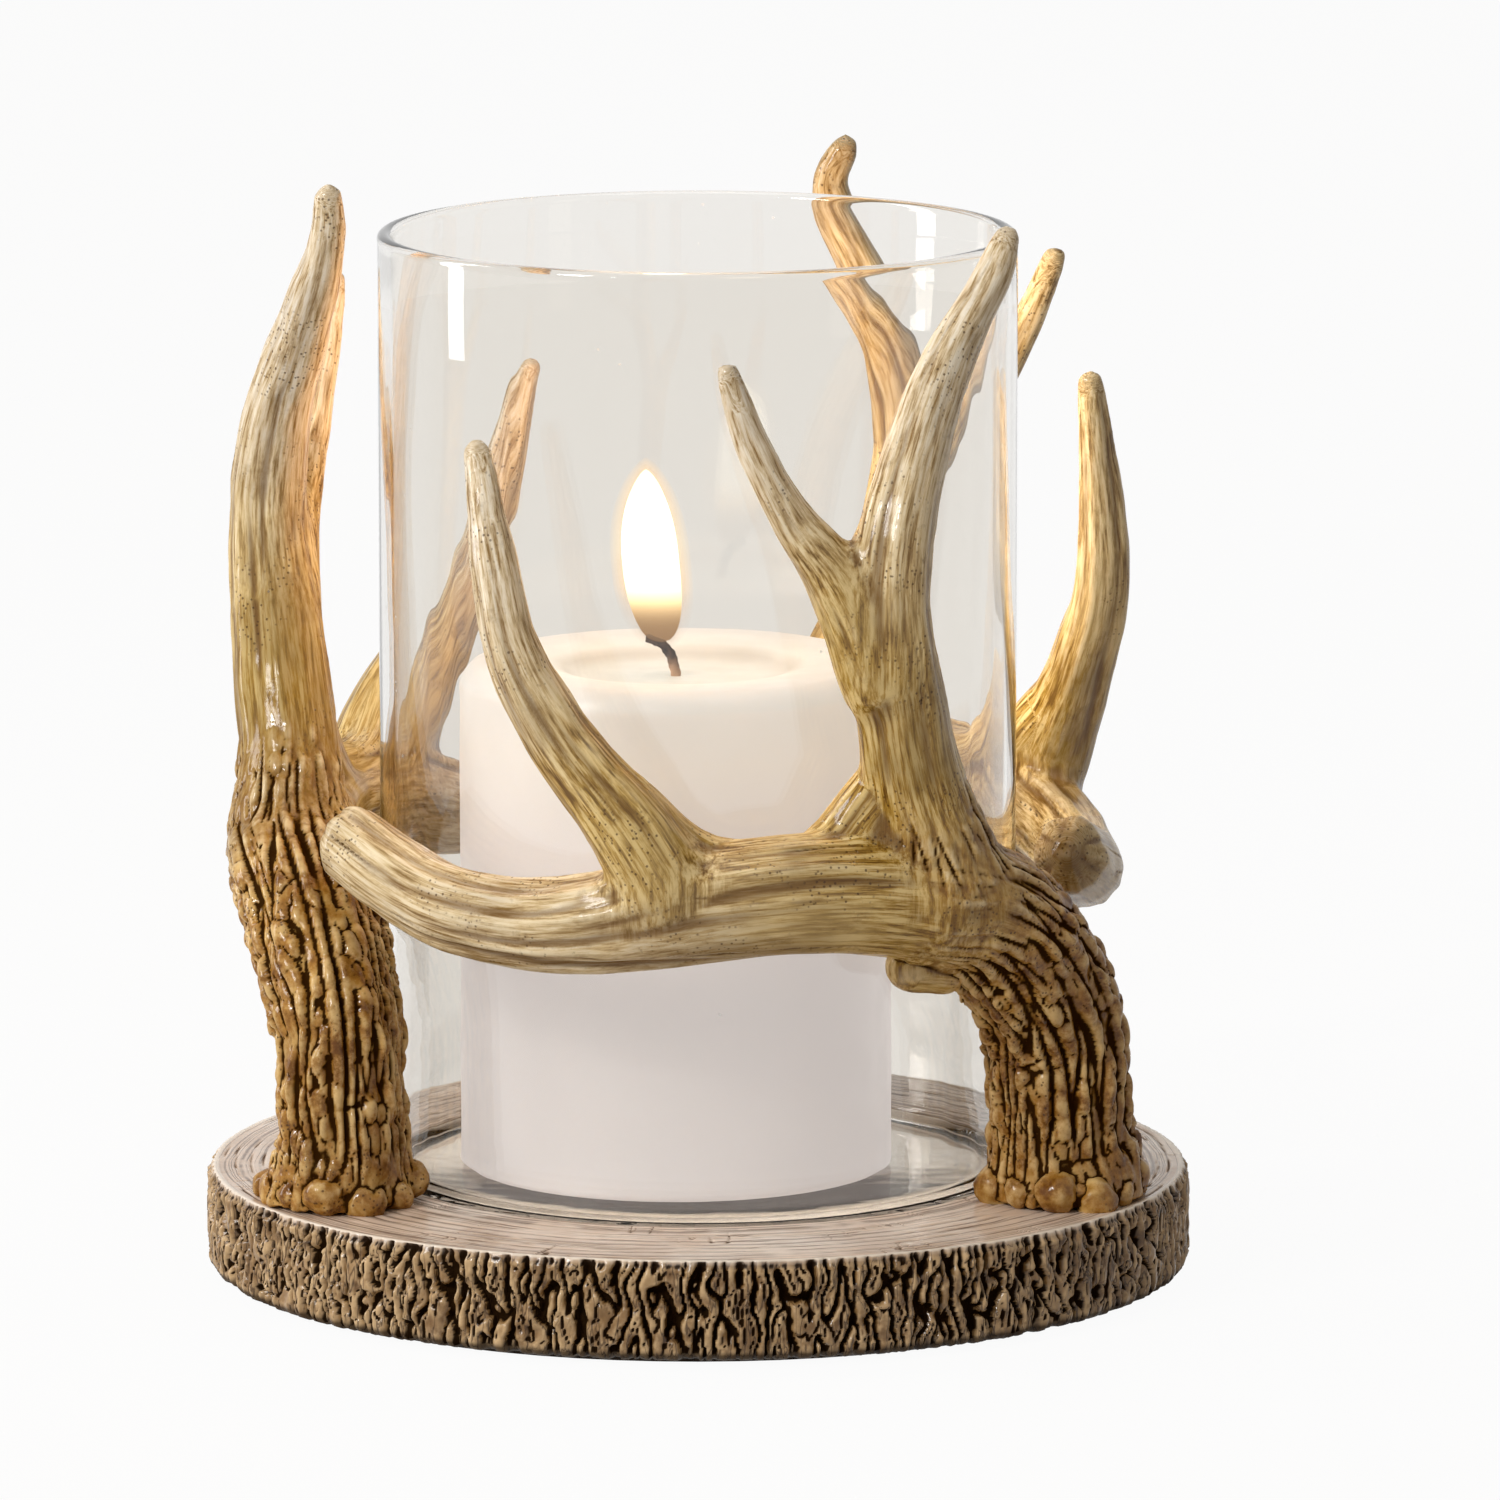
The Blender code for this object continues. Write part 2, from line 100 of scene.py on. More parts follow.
# Node, its turn round the glass and that of its foot in degrees, how far its ends are rubbed pale, and
# the swing in degrees and the rise in millimetres of each branch. The paleness is also painted light and
# shade: more on the left antler, where the light falls, and less on the back one, which lies in shade.
ANTLERS = (
    ("antler_front", 0.0, 0.0, 1.0, {}),
    ("antler_left", -120.0, -7.0, 1.15, {"tall": (0.0, 5.0), "short": (0.0, 2.0), "low": (0.0, -1.0)}),
    ("antler_back", 126.0, 0.0, 0.35, {"tall": (-20.0, 2.5), "short": (-13.0, 6.0), "low": (0.0, 3.0),
                                       "beam": (2.0, -4.0)}),
)
ANTLER_VOXEL = 0.5

# The photograph's camera: millimetres of lens, metres, and degrees down and to the side.
CAMERA_LENS = 297.2
CAMERA_PLACE = (0.0, -2.26231, 0.49271)
CAMERA_DOWN = 9.917
CAMERA_TURN = -0.2445
# Area lights: name, place and size in metres, power in watts, colour.
LIGHT_AIM = (0.0, 0.0, 0.1)
LIGHTS = (
    ("key_left", (-1.35, -1.25, 1.1), (0.4, 0.65), 18.5, (1.0, 0.99, 0.98)),
    ("glint_left", (-0.9, -1.4, 1.1), (0.08, 0.14), 8.0, (1.0, 1.0, 1.0)),
    ("window_left", (-0.8, 0.1, 0.40), (0.16, 0.7), 3.4, (0.98, 0.98, 1.0)),
    ("fill_right", (1.6, -1.2, 0.7), (0.3, 1.2), 0.9, (1.0, 0.92, 0.80)),
    ("top", (0.0, 0.2, 1.8), (1.0, 1.0), 6.0, (1.0, 1.0, 1.0)),
)
# The flame's own light: watts, colour, size in metres and height above the wax in millimetres.
FLAME_POWER = 0.18
FLAME_COLOUR = (1.0, 0.52, 0.15)
FLAME_LIGHT_SIZE = 0.010
FLAME_LIGHT_RISE = 55.0
# The light of the room from all round; the camera sees plain white instead.
ROOM_COLOUR = (1.0, 0.90, 0.76)
ROOM_STRENGTH = 0.24
# How far the floor reaches each way, in metres.
FLOOR_REACH = 8.0


# Noise, all of it repeatable: the same point always gives the same value.

def lattice(cells, seed):
    """A number from 0 to 1 for each whole-number cell."""
    i, j, k = (cells[:, axis].astype(np.int64) for axis in range(3))
    mixed = (i * 374761393 + j * 668265263 + k * 1440662683 + seed * 1274126177) & 0xFFFFFFFF
    mixed = ((mixed ^ (mixed >> 13)) * 1274126177) & 0xFFFFFFFF
    mixed = ((mixed ^ (mixed >> 15)) * 2246822519) & 0xFFFFFFFF
    return ((mixed ^ (mixed >> 16)) & 0xFFFFFF) / float(0x1000000)


def noise(points, seed=0):
    """Smooth gradient noise, about -1 to 1, one feature per unit."""
    cell = np.floor(points)
    part = points - cell
    fade = part * part * part * (part * (part * 6 - 15) + 10)
    total = np.zeros(len(points))
    for corner in np.ndindex(2, 2, 2):
        offset = np.array(corner, float)
        spin = lattice(cell + offset, seed) * 2 * np.pi
        lift = lattice(cell + offset, seed + 57) * 2 - 1
        flat = np.sqrt(1 - lift * lift)
        slope = np.stack([flat * np.cos(spin), flat * np.sin(spin), lift], -1)
        weight = np.prod(np.where(offset > 0, fade, 1 - fade), axis=1)
        total += weight * np.sum(slope * (part - offset), axis=1)
    return total * 1.6


def beads(points, seed=0):
    """Distance to the nearest of scattered points, one per unit cell, and that cell's own number."""
    cell = np.floor(points)
    first = np.full(len(points), 9.0)
    label = np.zeros(len(points))
    for step in np.ndindex(3, 3, 3):
        near = cell + (np.array(step, float) - 1)
        jitter = np.stack([lattice(near, seed + axis * 17) for axis in range(3)], -1)
        gap = np.linalg.norm(near + 0.15 + 0.7 * jitter - points, axis=1)
        closer = gap < first
        label = np.where(closer, lattice(near, seed + 91), label)
        first = np.where(closer, gap, first)
    return first, label


def on_ring(angle, turn, along):
    """Noise coordinates that close up round a ring; the ring has a radius of turn features."""
    return np.stack([np.cos(angle) * turn, np.sin(angle) * turn, along], -1)


def on_line(values):
    return np.stack([values, np.zeros_like(values), np.zeros_like(values)], -1)


def smooth(low, high, value):
    t = np.clip((value - low) / (high - low), 0.0, 1.0)
    return t * t * (3 - 2 * t)


# Mesh helpers.

def new_piece(name, data, body, look, replaces=()):
    made = bpy.data.objects.new(name, data)
    bpy.context.scene.collection.objects.link(made)
    data.materials.clear()
    data.materials.append(look)
    data.shade_smooth()
    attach(made, body)
    if replaces:
        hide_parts(*replaces)


def lathe_mesh(name, *shells):
    """One mesh from shells of ring points (row, column, xyz), wrapped round and capped at both ends.

    A shell's rows run down its outer side.
    """
    points, faces = [], []
    for rows in shells:
        rows = np.asarray(rows, float)
        count, sides = rows.shape[:2]
        index = len(points) + np.arange(count * sides).reshape(count, sides)
        after = np.roll(index, -1, 1)
        faces += np.stack([index[1:], after[1:], after[:-1], index[:-1]], -1).reshape(-1, 4).tolist()
        faces += [index[0].tolist(), index[-1][::-1].tolist()]
        points += (rows.reshape(-1, 3) * MM).tolist()
    data = bpy.data.meshes.new(name)
    data.from_pydata(points, [], faces)
    data.update()
    return data


def ring(radius, height, angles, centre=(0.0, 0.0)):
    radius = np.broadcast_to(radius, angles.shape)
    height = np.broadcast_to(height, angles.shape)
    return np.stack([centre[0] + radius * np.cos(angles), centre[1] + radius * np.sin(angles), height], -1)


def arc(centre, size, start, end, steps):
    """Profile points (radius, height) on a round corner; the angles are in degrees."""
    turns = np.radians(np.linspace(start, end, steps))
    return [(centre[0] + size[0] * math.cos(turn), centre[1] + size[1] * math.sin(turn)) for turn in turns]


def add_attributes(data, **columns):
    for name, values in columns.items():
        values = np.ascontiguousarray(values, np.float32)
        kind, key = ('FLOAT', "value") if values.ndim == 1 else ('FLOAT_VECTOR', "vector")
        data.attributes.new(name, kind, 'POINT').data.foreach_set(key, values.ravel())


# Shader helpers.

class Look:
    """A material and short ways to add its nodes."""

    def __init__(self, name):
        self.material = bpy.data.materials.new(name)
        self.material.use_nodes = True
        self.tree = self.material.node_tree
        self.shader = self.tree.nodes["Principled BSDF"]
        self.output = self.tree.nodes["Material Output"]

    def feed(self, target, value):
        """Set an input to a number, vector or colour, or link it to another node's output."""
        if isinstance(value, bpy.types.NodeSocket):
            self.tree.links.new(value, target)
        elif target.type == 'RGBA':
            target.default_value = (*value, 1.0)
        else:
            target.default_value = value

    def node(self, kind, **settings):
        """A new node; the settings with a capital are its inputs."""
        made = self.tree.nodes.new(kind)
        for key, value in settings.items():
            if key[0].isupper():
                self.feed(made.inputs[key.replace("_", " ")], value)
            else:
                setattr(made, key, value)
        return made

    def attribute(self, name, vector=False):
        made = self.node('ShaderNodeAttribute', attribute_name=name)
        return made.outputs["Vector" if vector else "Fac"]

    def position(self):
        return self.node('ShaderNodeTexCoord').outputs["Object"]

    def height(self):
        return self.node('ShaderNodeSeparateXYZ', Vector=self.position()).outputs["Z"]

    def from_axis(self, x=0.0):
        """Distance from the upright line at x, in metres."""
        line = self.node('ShaderNodeCombineXYZ', X=x, Z=self.height())
        made = self.node('ShaderNodeVectorMath', operation='DISTANCE')
        self.feed(made.inputs[0], self.position())
        self.feed(made.inputs[1], line.outputs["Vector"])
        return made.outputs["Value"]

    def scatter(self, scale):
        """Distance to the nearest of scattered points, in cells."""
        made = self.node('ShaderNodeTexVoronoi', Vector=self.position(), Scale=scale, Randomness=1.0)
        return made.outputs["Distance"]

    def texture(self, vector, scale, detail=4.0, roughness=0.55, stretch=None):
        if stretch:
            vector = self.node('ShaderNodeMapping', Vector=vector, Scale=stretch).outputs["Vector"]
        made = self.node('ShaderNodeTexNoise', Vector=vector, Scale=scale, Detail=detail,
                         Roughness=roughness)
        return made.outputs["Fac"]

    def ramp(self, factor, *stops):
        made = self.node('ShaderNodeValToRGB', Fac=factor)
        elements = made.color_ramp.elements
        while len(elements) < len(stops):
            elements.new(0.5)
        for element, (place, colour) in zip(elements, stops):
            element.position = place
            element.color = (*colour, 1.0)
        return made.outputs["Color"]

    def spread(self, factor, low, high, to_low=0.0, to_high=1.0):
        made = self.node('ShaderNodeMapRange', interpolation_type='SMOOTHSTEP', Value=factor,
                         From_Min=low, From_Max=high, To_Min=to_low, To_Max=to_high)
        return made.outputs["Result"]

    def maths(self, operation, one, two):
        made = self.node('ShaderNodeMath', operation=operation)
        self.feed(made.inputs[0], one)
        self.feed(made.inputs[1], two)
        return made.outputs["Value"]

    def times(self, one, two):
        return self.maths('MULTIPLY', one, two)

    def mix(self, factor, one, two):
        made = self.node('ShaderNodeMix', data_type='RGBA')
        for key, value in ((0, factor), (6, one), (7, two)):
            self.feed(made.inputs[key], value)
        return made.outputs[2]

    def set(self, **values):
        for key, value in values.items():
            self.feed(self.shader.inputs[key.replace("_", " ")], value)

    def bump(self, height, strength, distance):
        made = self.node('ShaderNodeBump', Height=height, Strength=strength, Distance=distance)
        self.set(Normal=made.outputs["Normal"])


def blend_shaders(tree, factor, one, two, output):
    """Show node one where the factor is 0 and node two where it is 1."""
    mix = tree.nodes.new('ShaderNodeMixShader')
    for source, target in zip((factor, one.outputs[0], two.outputs[0]), mix.inputs):
        tree.links.new(source, target)
    tree.links.new(mix.outputs[0], output.inputs["Surface"])


def seen_directly(tree):
    """1 for what the camera sees straight, through glass or mirrored, 0 for the light on other things."""
    path = tree.nodes.new('ShaderNodeLightPath')
    seen = path.outputs["Is Camera Ray"]
    for kind in ("Is Transmission Ray", "Is Glossy Ray"):
        either = tree.nodes.new('ShaderNodeMath')
        either.operation = 'MAXIMUM'
        tree.links.new(seen, either.inputs[0])
        tree.links.new(path.outputs[kind], either.inputs[1])
        seen = either.outputs[0]
    return seen


# Antlers.

def through(points, share):
    """Points on the smooth curve through the control points; share is an array from 0 to 1."""
    points = np.asarray(points, float)
    spans = len(points) - 1
    padded = np.vstack([2 * points[0] - points[1], points, 2 * points[-1] - points[-2]])
    span = np.minimum((share * spans).astype(int), spans - 1)
    t = (share * spans - span)[:, None]
    a, b, c, d = (padded[span + step] for step in range(4))
    bend = 2 * a - 5 * b + 4 * c - d
    twist = 3 * b - a - 3 * c + d
    return 0.5 * (2 * b + (c - a) * t + bend * t ** 2 + twist * t ** 3)


def centre_line(controls, turn, foot=0.0, swing=0.0, rise=0.0):
    """Samples (x, y, z, radius) in millimetres along one branch."""
    rows = []
    last = len(controls) - 1
    for index, (azimuth, clear, height, radius) in enumerate(controls):
        grown = (index / last) ** 2
        rooted = (1 - index / last) ** 2
        angle = math.radians(azimuth + turn + swing * grown + foot * rooted)
        distance = GLASS_RADIUS + clear + radius
        level = BASE_TOP + height + rise * grown
        rows.append((distance * math.cos(angle), distance * math.sin(angle), level, radius))
    return through(rows, np.linspace(0, 1, 8 * last + 1))


def along_and_around(verts, line, inner_end):
    """Where each vertex lies on a branch.

    along is the way along it and length the whole way, in mm, angle the turn round it, radius the branch's
    own there, and away how far out the vertex is, in radii. reach is the same, and more past an end that
    another branch takes over.
    """
    places, radii = line[:, :3], line[:, 3]
    steps = np.linalg.norm(np.diff(places, axis=0), axis=1)
    length = np.concatenate([[0], np.cumsum(steps)])
    tangent = np.gradient(places, axis=0)
    tangent /= np.linalg.norm(tangent, axis=1, keepdims=True)
    side = np.zeros_like(tangent)
    side[0] = np.cross(tangent[0], [0.3, 0.2, 1.0] if abs(tangent[0][2]) < 0.8 else [1.0, 0.2, 0.1])
    side[0] /= np.linalg.norm(side[0])
    for index in range(1, len(side)):
        carried = side[index - 1] - tangent[index] * np.dot(side[index - 1], tangent[index])
        side[index] = carried / np.linalg.norm(carried)
    nearest = np.zeros(len(verts), int)
    best = np.full(len(verts), 1e9)
    for index in range(len(places)):
        gap = np.linalg.norm(verts - places[index], axis=1) - 0.5 * radii[index]
        closer = gap < best
        best = np.where(closer, gap, best)
        nearest = np.where(closer, index, nearest)
    # From the nearest sample on towards the next one, so that nothing jumps from sample to sample.
    last = len(places) - 1
    ahead = np.sum((verts - places[nearest]) * tangent[nearest], axis=1)
    after = np.clip(nearest + np.where(ahead > 0, 1, -1), 0, last)
    span = np.maximum(np.linalg.norm(places[after] - places[nearest], axis=1), 1e-6)
    share = np.where(after == nearest, 0.0, np.clip(np.abs(ahead) / span, 0.0, 1.0))

    def between(values):
        part = share if values.ndim == 1 else share[:, None]
        return values[nearest] * (1 - part) + values[after] * part

    offset = verts - between(places)
    way, right, radius = between(tangent), between(side), between(radii)
    ahead = np.sum(offset * way, axis=1)
    across = np.sum(offset * right, axis=1)
    up = np.sum(offset * np.cross(way, right), axis=1)
    past = np.where(nearest == 0, np.maximum(-ahead, 0.0), 0.0)
    if inner_end:
        past += np.where(nearest == last, np.maximum(ahead, 0.0), 0.0)
    away = np.hypot(across, up) / radius
    return SimpleNamespace(along=between(length) + ahead, angle=np.arctan2(up, across), radius=radius,
                           reach=away + 2.5 * past / radius, away=away, length=length[-1])


def round_coordinates(angle, along, radius, wide, long):
    """Seamless noise coordinates on a branch, with features about wide by long millimetres."""
    return on_ring(angle, radius / wide, along / long)


def pattern(spot, wide, long, seed, shift=0.0):
    """Noise on a branch, with features about wide by long millimetres; spot is angle, along and radius."""
    return noise(round_coordinates(*spot, wide, long) + shift, seed)


def sculpt(verts, lines, seed):
    """Displacement in mm and the values that colour the surface."""
    branches = {name: along_and_around(verts, line, name in INNER_ENDS) for name, line in lines.items()}
    nearest = np.min([branch.reach for branch in branches.values()], axis=0)
    weights = {name: np.exp(-5.0 * (branch.reach - nearest)) for name, branch in branches.items()}
    total = sum(weights.values())
    main = [branch for name, branch in branches.items() if name not in ("saddle", "knob")]
    shared = sum(np.exp(-2.2 * (branch.reach - nearest)) for branch in main)
    push, pearl, tip = np.zeros((3, len(verts)))
    flow = np.zeros((len(verts), 3))
    chosen = np.full(len(verts), -1.0)
    for order, (name, branch) in enumerate(branches.items()):
        weight = weights[name] / total
        near = np.nonzero(weight > 0.004)[0]
        weight = weight[near]
        along, radius, away = branch.along[near], branch.radius[near], branch.away[near]
        spot = branch.angle[near], along, radius
        share = along / branch.length
        local = seed + order * 13
        # Long grooves that follow the branch, a few wide ones and many fine ones.
        drift = 0.35 * pattern(spot, 7.0, 60.0, local + 3)[:, None]
        broad = pattern(spot, 4.4, 80.0, local, drift)
        fine = pattern(spot, 2.2, 50.0, local + 1, drift)
        strength = 0.35 + 0.65 * smooth(-0.3, 0.5, pattern(spot, 9.0, 60.0, local + 2))
        slim = np.clip(radius / 8.0, 0.25, 1.0) * smooth(0.5, 1.0, away)
        split = 1 - smooth(0.0, 0.14, np.abs(fine))
        split = split * smooth(0.1, 0.5, pattern(spot, 6.0, 24.0, local + 6))
        grain = slim * (strength * (2.1 * broad + 0.55 * fine) - 0.35 * split)
        if name != "shaft":
            grain = grain * smooth(0.04, 0.30, share)
        if name in TINES:
            grain = 0.65 * grain
        # Ridges of pearls on the shaft and the root of the trunk.
        rough = np.zeros(len(near))
        if name == "shaft":
            rough = 1 - smooth(0.74, 0.98, share)
        elif name == "beam":
            rough = 0.5 * (1 - smooth(0.0, 0.14, share))
        elif name == "tall":
            rough = 0.6 * (1 - smooth(0.02, 0.20, share + 0.05 * pattern(spot, 7.0, 60.0, local + 9)))
        bend = pattern(spot, 6.0, 12.0, local + 4)[:, None]
        gap, label = beads(round_coordinates(*spot, 2.4, 4.4) + 0.22 * bend, local + 5)
        ridge = smooth(0.0, 0.36, np.abs(pattern(spot, 2.6, 34.0, local + 7, 0.18 * bend)))
        lump = np.sqrt(np.clip(1 - (gap / 0.72) ** 2, 0, 1)) * (0.55 + 0.6 * label)
        pearls = (1.9 * ridge * (0.34 + 0.66 * lump) + 0.3 * lump - 1.05) * smooth(0.5, 1.0, away)
        if name == "shaft":
            pearls = pearls * (0.3 + 0.7 * smooth(6.0, 12.0, verts[near, 2] - BASE_TOP))
        push[near] += weight * (grain * (1 - rough) + pearls * rough)
        pearl[near] += weight * rough
        # The ends are rubbed pale, and the end of the beam is rounded off.
        if name in TINES:
            tip[near] += weight * smooth(0.22, 0.80, share)
        elif name == "beam":
            tip[near] += weight * 0.58 * smooth(0.12, 0.60, share)
            push[near] -= weight * 0.32 * np.maximum(along - branch.length, 0.0)
        plain = (1 - smooth(0.35, 0.9, away))[:, None]
        streaks = round_coordinates(*spot, 1.0, 14.0) * (1 - plain) + plain * verts[near] / 3.0
        better = weight > chosen[near]
        flow[near[better]] = (streaks + order * 40.0)[better]
        chosen[near] = np.maximum(chosen[near], weight)
    rolling = verts / 14.0
    rolls = noise(rolling, seed + 200) + 0.5 * noise(rolling * 2.0, seed + 201)
    push += 0.30 * rolls * (1 - pearl)
    clear = smooth(0.55, 0.85, 1.0 / np.maximum(shared, 1.0))
    return push, np.clip(pearl, 0, 1), np.clip(tip, 0, 1), flow, clear


def vertices(data):
    places = np.zeros(len(data.vertices) * 3, np.float32)
    data.vertices.foreach_get("co", places)
    return places.reshape(-1, 3).astype(float) / MM


def place_vertices(data, places):
    data.vertices.foreach_set("co", (places * MM).astype(np.float32).ravel())
    data.update()


def vertex_normals(data):
    normals = np.zeros(len(data.vertices) * 3, np.float32)
    data.vertex_normals.foreach_get("vector", normals)
    return normals.reshape(-1, 3).astype(float)


def evened(data, rounds):
    """The vertices in mm after some rounds of averaging with those around them."""
    ends = np.zeros(len(data.edges) * 2, np.int32)
    data.edges.foreach_get("vertices", ends)
    one, two = ends.reshape(-1, 2).T
    even = vertices(data)
    count = len(even)
    share = 1.0 / np.maximum(np.bincount(one, minlength=count) + np.bincount(two, minlength=count), 1)
    for _ in range(rounds):
        for axis in range(3):
            column = even[:, axis]
            total = np.bincount(one, column[two], count) + np.bincount(two, column[one], count)
            even[:, axis] = 0.3 * column + 0.7 * total * share
    return even


def hollows(data):
    """How far each vertex lies under the average of those near it, and of those in a wider ring, in mm.

    Hollows are positive, ridges negative.
    """
    places, normals = vertices(data), vertex_normals(data)
    return [np.sum((evened(data, rounds) - places) * normals, axis=1) for rounds in (4, 24)]


def antler_look():
    look = Look("antler_resin_painted")
    flow = look.attribute("flow", vector=True)
    cavity, groove, ridge, pearl, tip, clear = map(
        look.attribute, ("cavity", "groove", "ridge", "pearl", "tip", "clear"))
    place = look.position()
    # Streaks follow the branch; where two branches meet they give way to upright ones.
    upright = look.texture(place, 900.0, 6.0, 0.66, (1.0, 1.0, 0.08))
    upright = look.times(upright, look.maths('SUBTRACT', 1.0, clear))
    streak = look.maths('ADD', look.times(look.texture(flow, 1.1, 6.0, 0.66), clear), upright)
    fleck = look.texture(flow, 3.6, 3.0, 0.6)
    patch = look.texture(place, 42.0, 4.0, 0.55)
    blot = look.texture(place, 230.0, 5.0, 0.65)
    stain = look.spread(look.texture(place, 24.0, 4.0, 0.6), 0.42, 0.60)
    pitted = look.spread(look.texture(place, 60.0, 2.0), 0.47, 0.60)
    pit = look.times(look.spread(look.scatter(980.0), 0.30, 0.14), pitted)
    # Tan paint, streaked along the branch and stained darker in places; the ends are rubbed pale.
    tan = look.ramp(streak, (0.375, (0.115, 0.050, 0.006)), (0.47, (0.40, 0.235, 0.040)),
                    (0.575, (0.71, 0.53, 0.23)))
    tan = look.mix(look.spread(patch, 0.42, 0.68, 0.0, 0.5), tan, (0.58, 0.42, 0.17))
    tan = look.mix(look.times(stain, 0.6), tan, (0.20, 0.112, 0.016))
    pale = look.ramp(streak, (0.36, (0.30, 0.18, 0.06)), (0.48, (0.70, 0.57, 0.39)),
                     (0.62, (0.90, 0.84, 0.74)))
    tan = look.mix(look.times(tip, 0.76), tan, pale)
    # Wide grooves hold a soft brown, a wash with painted shade, and the crests between them are paler,
    # rubbed paint with a painted highlight.
    groove_wash_and_shade = look.times(groove, look.spread(tip, 0.1, 0.9, 0.80, 0.60))
    tan = look.mix(groove_wash_and_shade, tan, (0.13, 0.058, 0.010))
    crest_wear_and_highlight = look.times(ridge, look.spread(blot, 0.35, 0.65, 0.2, 0.8))
    tan = look.mix(crest_wear_and_highlight, tan, (0.79, 0.68, 0.47))
    tan = look.mix(look.spread(blot, 0.44, 0.30, 0.0, 0.32), tan, (0.17, 0.085, 0.017))
    # The pearls are browner, with lighter tops: rubbed paint with a painted highlight.
    beaded = look.ramp(blot, (0.32, (0.13, 0.046, 0.006)), (0.48, (0.38, 0.18, 0.029)),
                       (0.68, (0.65, 0.41, 0.13)))
    beaded = look.mix(look.times(stain, 0.4), beaded, (0.13, 0.048, 0.006))
    crest_wear_and_highlight = look.times(ridge, look.spread(blot, 0.36, 0.62, 0.0, 0.6))
    beaded = look.mix(crest_wear_and_highlight, beaded, (0.70, 0.50, 0.23))
    colour = look.mix(pearl, tan, beaded)
    # Darker in the creases, nearly black: a dark wash with painted shade.
    crease_wash_and_shade = look.times(cavity, look.spread(blot, 0.2, 0.7, 0.75, 1.0))
    crease_wash_and_shade = look.spread(crease_wash_and_shade, 0.04, 0.75, 0.0, 0.98)
    colour = look.mix(crease_wash_and_shade, colour, (0.022, 0.007, 0.001))
    colour = look.mix(look.times(pit, 0.75), colour, (0.06, 0.025, 0.005))
    # The lacquer lies on the high places and not in the grooves.
    look.set(Base_Color=colour, Roughness=look.spread(streak, 0.3, 0.7, 0.40, 0.60), Specular_IOR_Level=0.0,
             Coat_Weight=look.spread(crease_wash_and_shade, 0.1, 0.6, 0.48, 0.0), Coat_Roughness=0.13)
    height = look.times(fleck, look.spread(pearl, 0.1, 0.6, 0.35, 0.0))
    height = look.maths('ADD', height, look.times(blot, look.spread(pearl, 0.1, 0.6, 0.45, 0.80)))
    look.bump(look.maths('SUBTRACT', height, look.times(pit, 0.8)), 0.45, 0.0005)
    return look.material


def foot_beads(shaft, oval):
    """Centres and sizes in mm of the beads round a foot, where the CAD has them."""
    middle = shaft[4, :2] * (1 + 0.7 * oval / np.hypot(*shaft[4, :2]))
    rows = []
    for index in range(BURR_COUNT):
        size = BURR_BEAD / 2 * (1 + 0.22 * math.sin(2.4 * index))
        angle = 2 * math.pi * index / BURR_COUNT
        place = middle + shaft[4, 3] * np.array([math.cos(angle), math.sin(angle)])
        distance = min(max(np.hypot(*place), GLASS_RADIUS + SHAFT[0][1] + size), BASE_RADIUS - 1.6 - size)
        place = place / np.hypot(*place) * distance
        rows.append((*place, BASE_TOP + size * (0.75 + 0.3 * math.cos(1.7 * index)), size))
    return np.array(rows)


def swell(verts, balls, rim, rugged):
    """Push the vertices inside a run of balls out to their skin; rim is the width of the crease round it."""
    best = np.full(len(verts), 1e9)
    way = np.zeros_like(verts)
    for x, y, z, size in balls:
        offset = verts - (x, y, z)
        gap = np.linalg.norm(offset, axis=1)
        closer = gap - size < best
        best = np.where(closer, gap - size, best)
        way = np.where(closer[:, None], offset / np.maximum(gap, 1e-6)[:, None], way)
    best = best - rugged * (noise(verts / 3.6, 611) + 0.45 * noise(verts / 1.5, 612))
    lift = np.where(best < 0, -best, -0.4 * rim * np.sin(np.clip(best / rim, 0, 1) * np.pi))
    inside = best < rim
    verts[inside] += (way * lift[:, None])[inside]


def cast_mesh(node):
    """The node's solid with an even, softened mesh."""
    rough = bpy.data.objects.new("rough", NODES[node].data.copy())
    bpy.context.scene.collection.objects.link(rough)
    cast = rough.modifiers.new("cast", 'REMESH')
    cast.mode = 'VOXEL'
    cast.voxel_size = ANTLER_VOXEL * MM
    soft = rough.modifiers.new("soften", 'SMOOTH')
    soft.factor = 0.5
    soft.iterations = int(4 / ANTLER_VOXEL ** 2)
    bpy.context.view_layer.update()
    data = bpy.data.meshes.new_from_object(rough.evaluated_get(bpy.context.evaluated_depsgraph_get()))
    bpy.data.objects.remove(rough, do_unlink=True)
    data.name = node + "_sculpted"
    return data


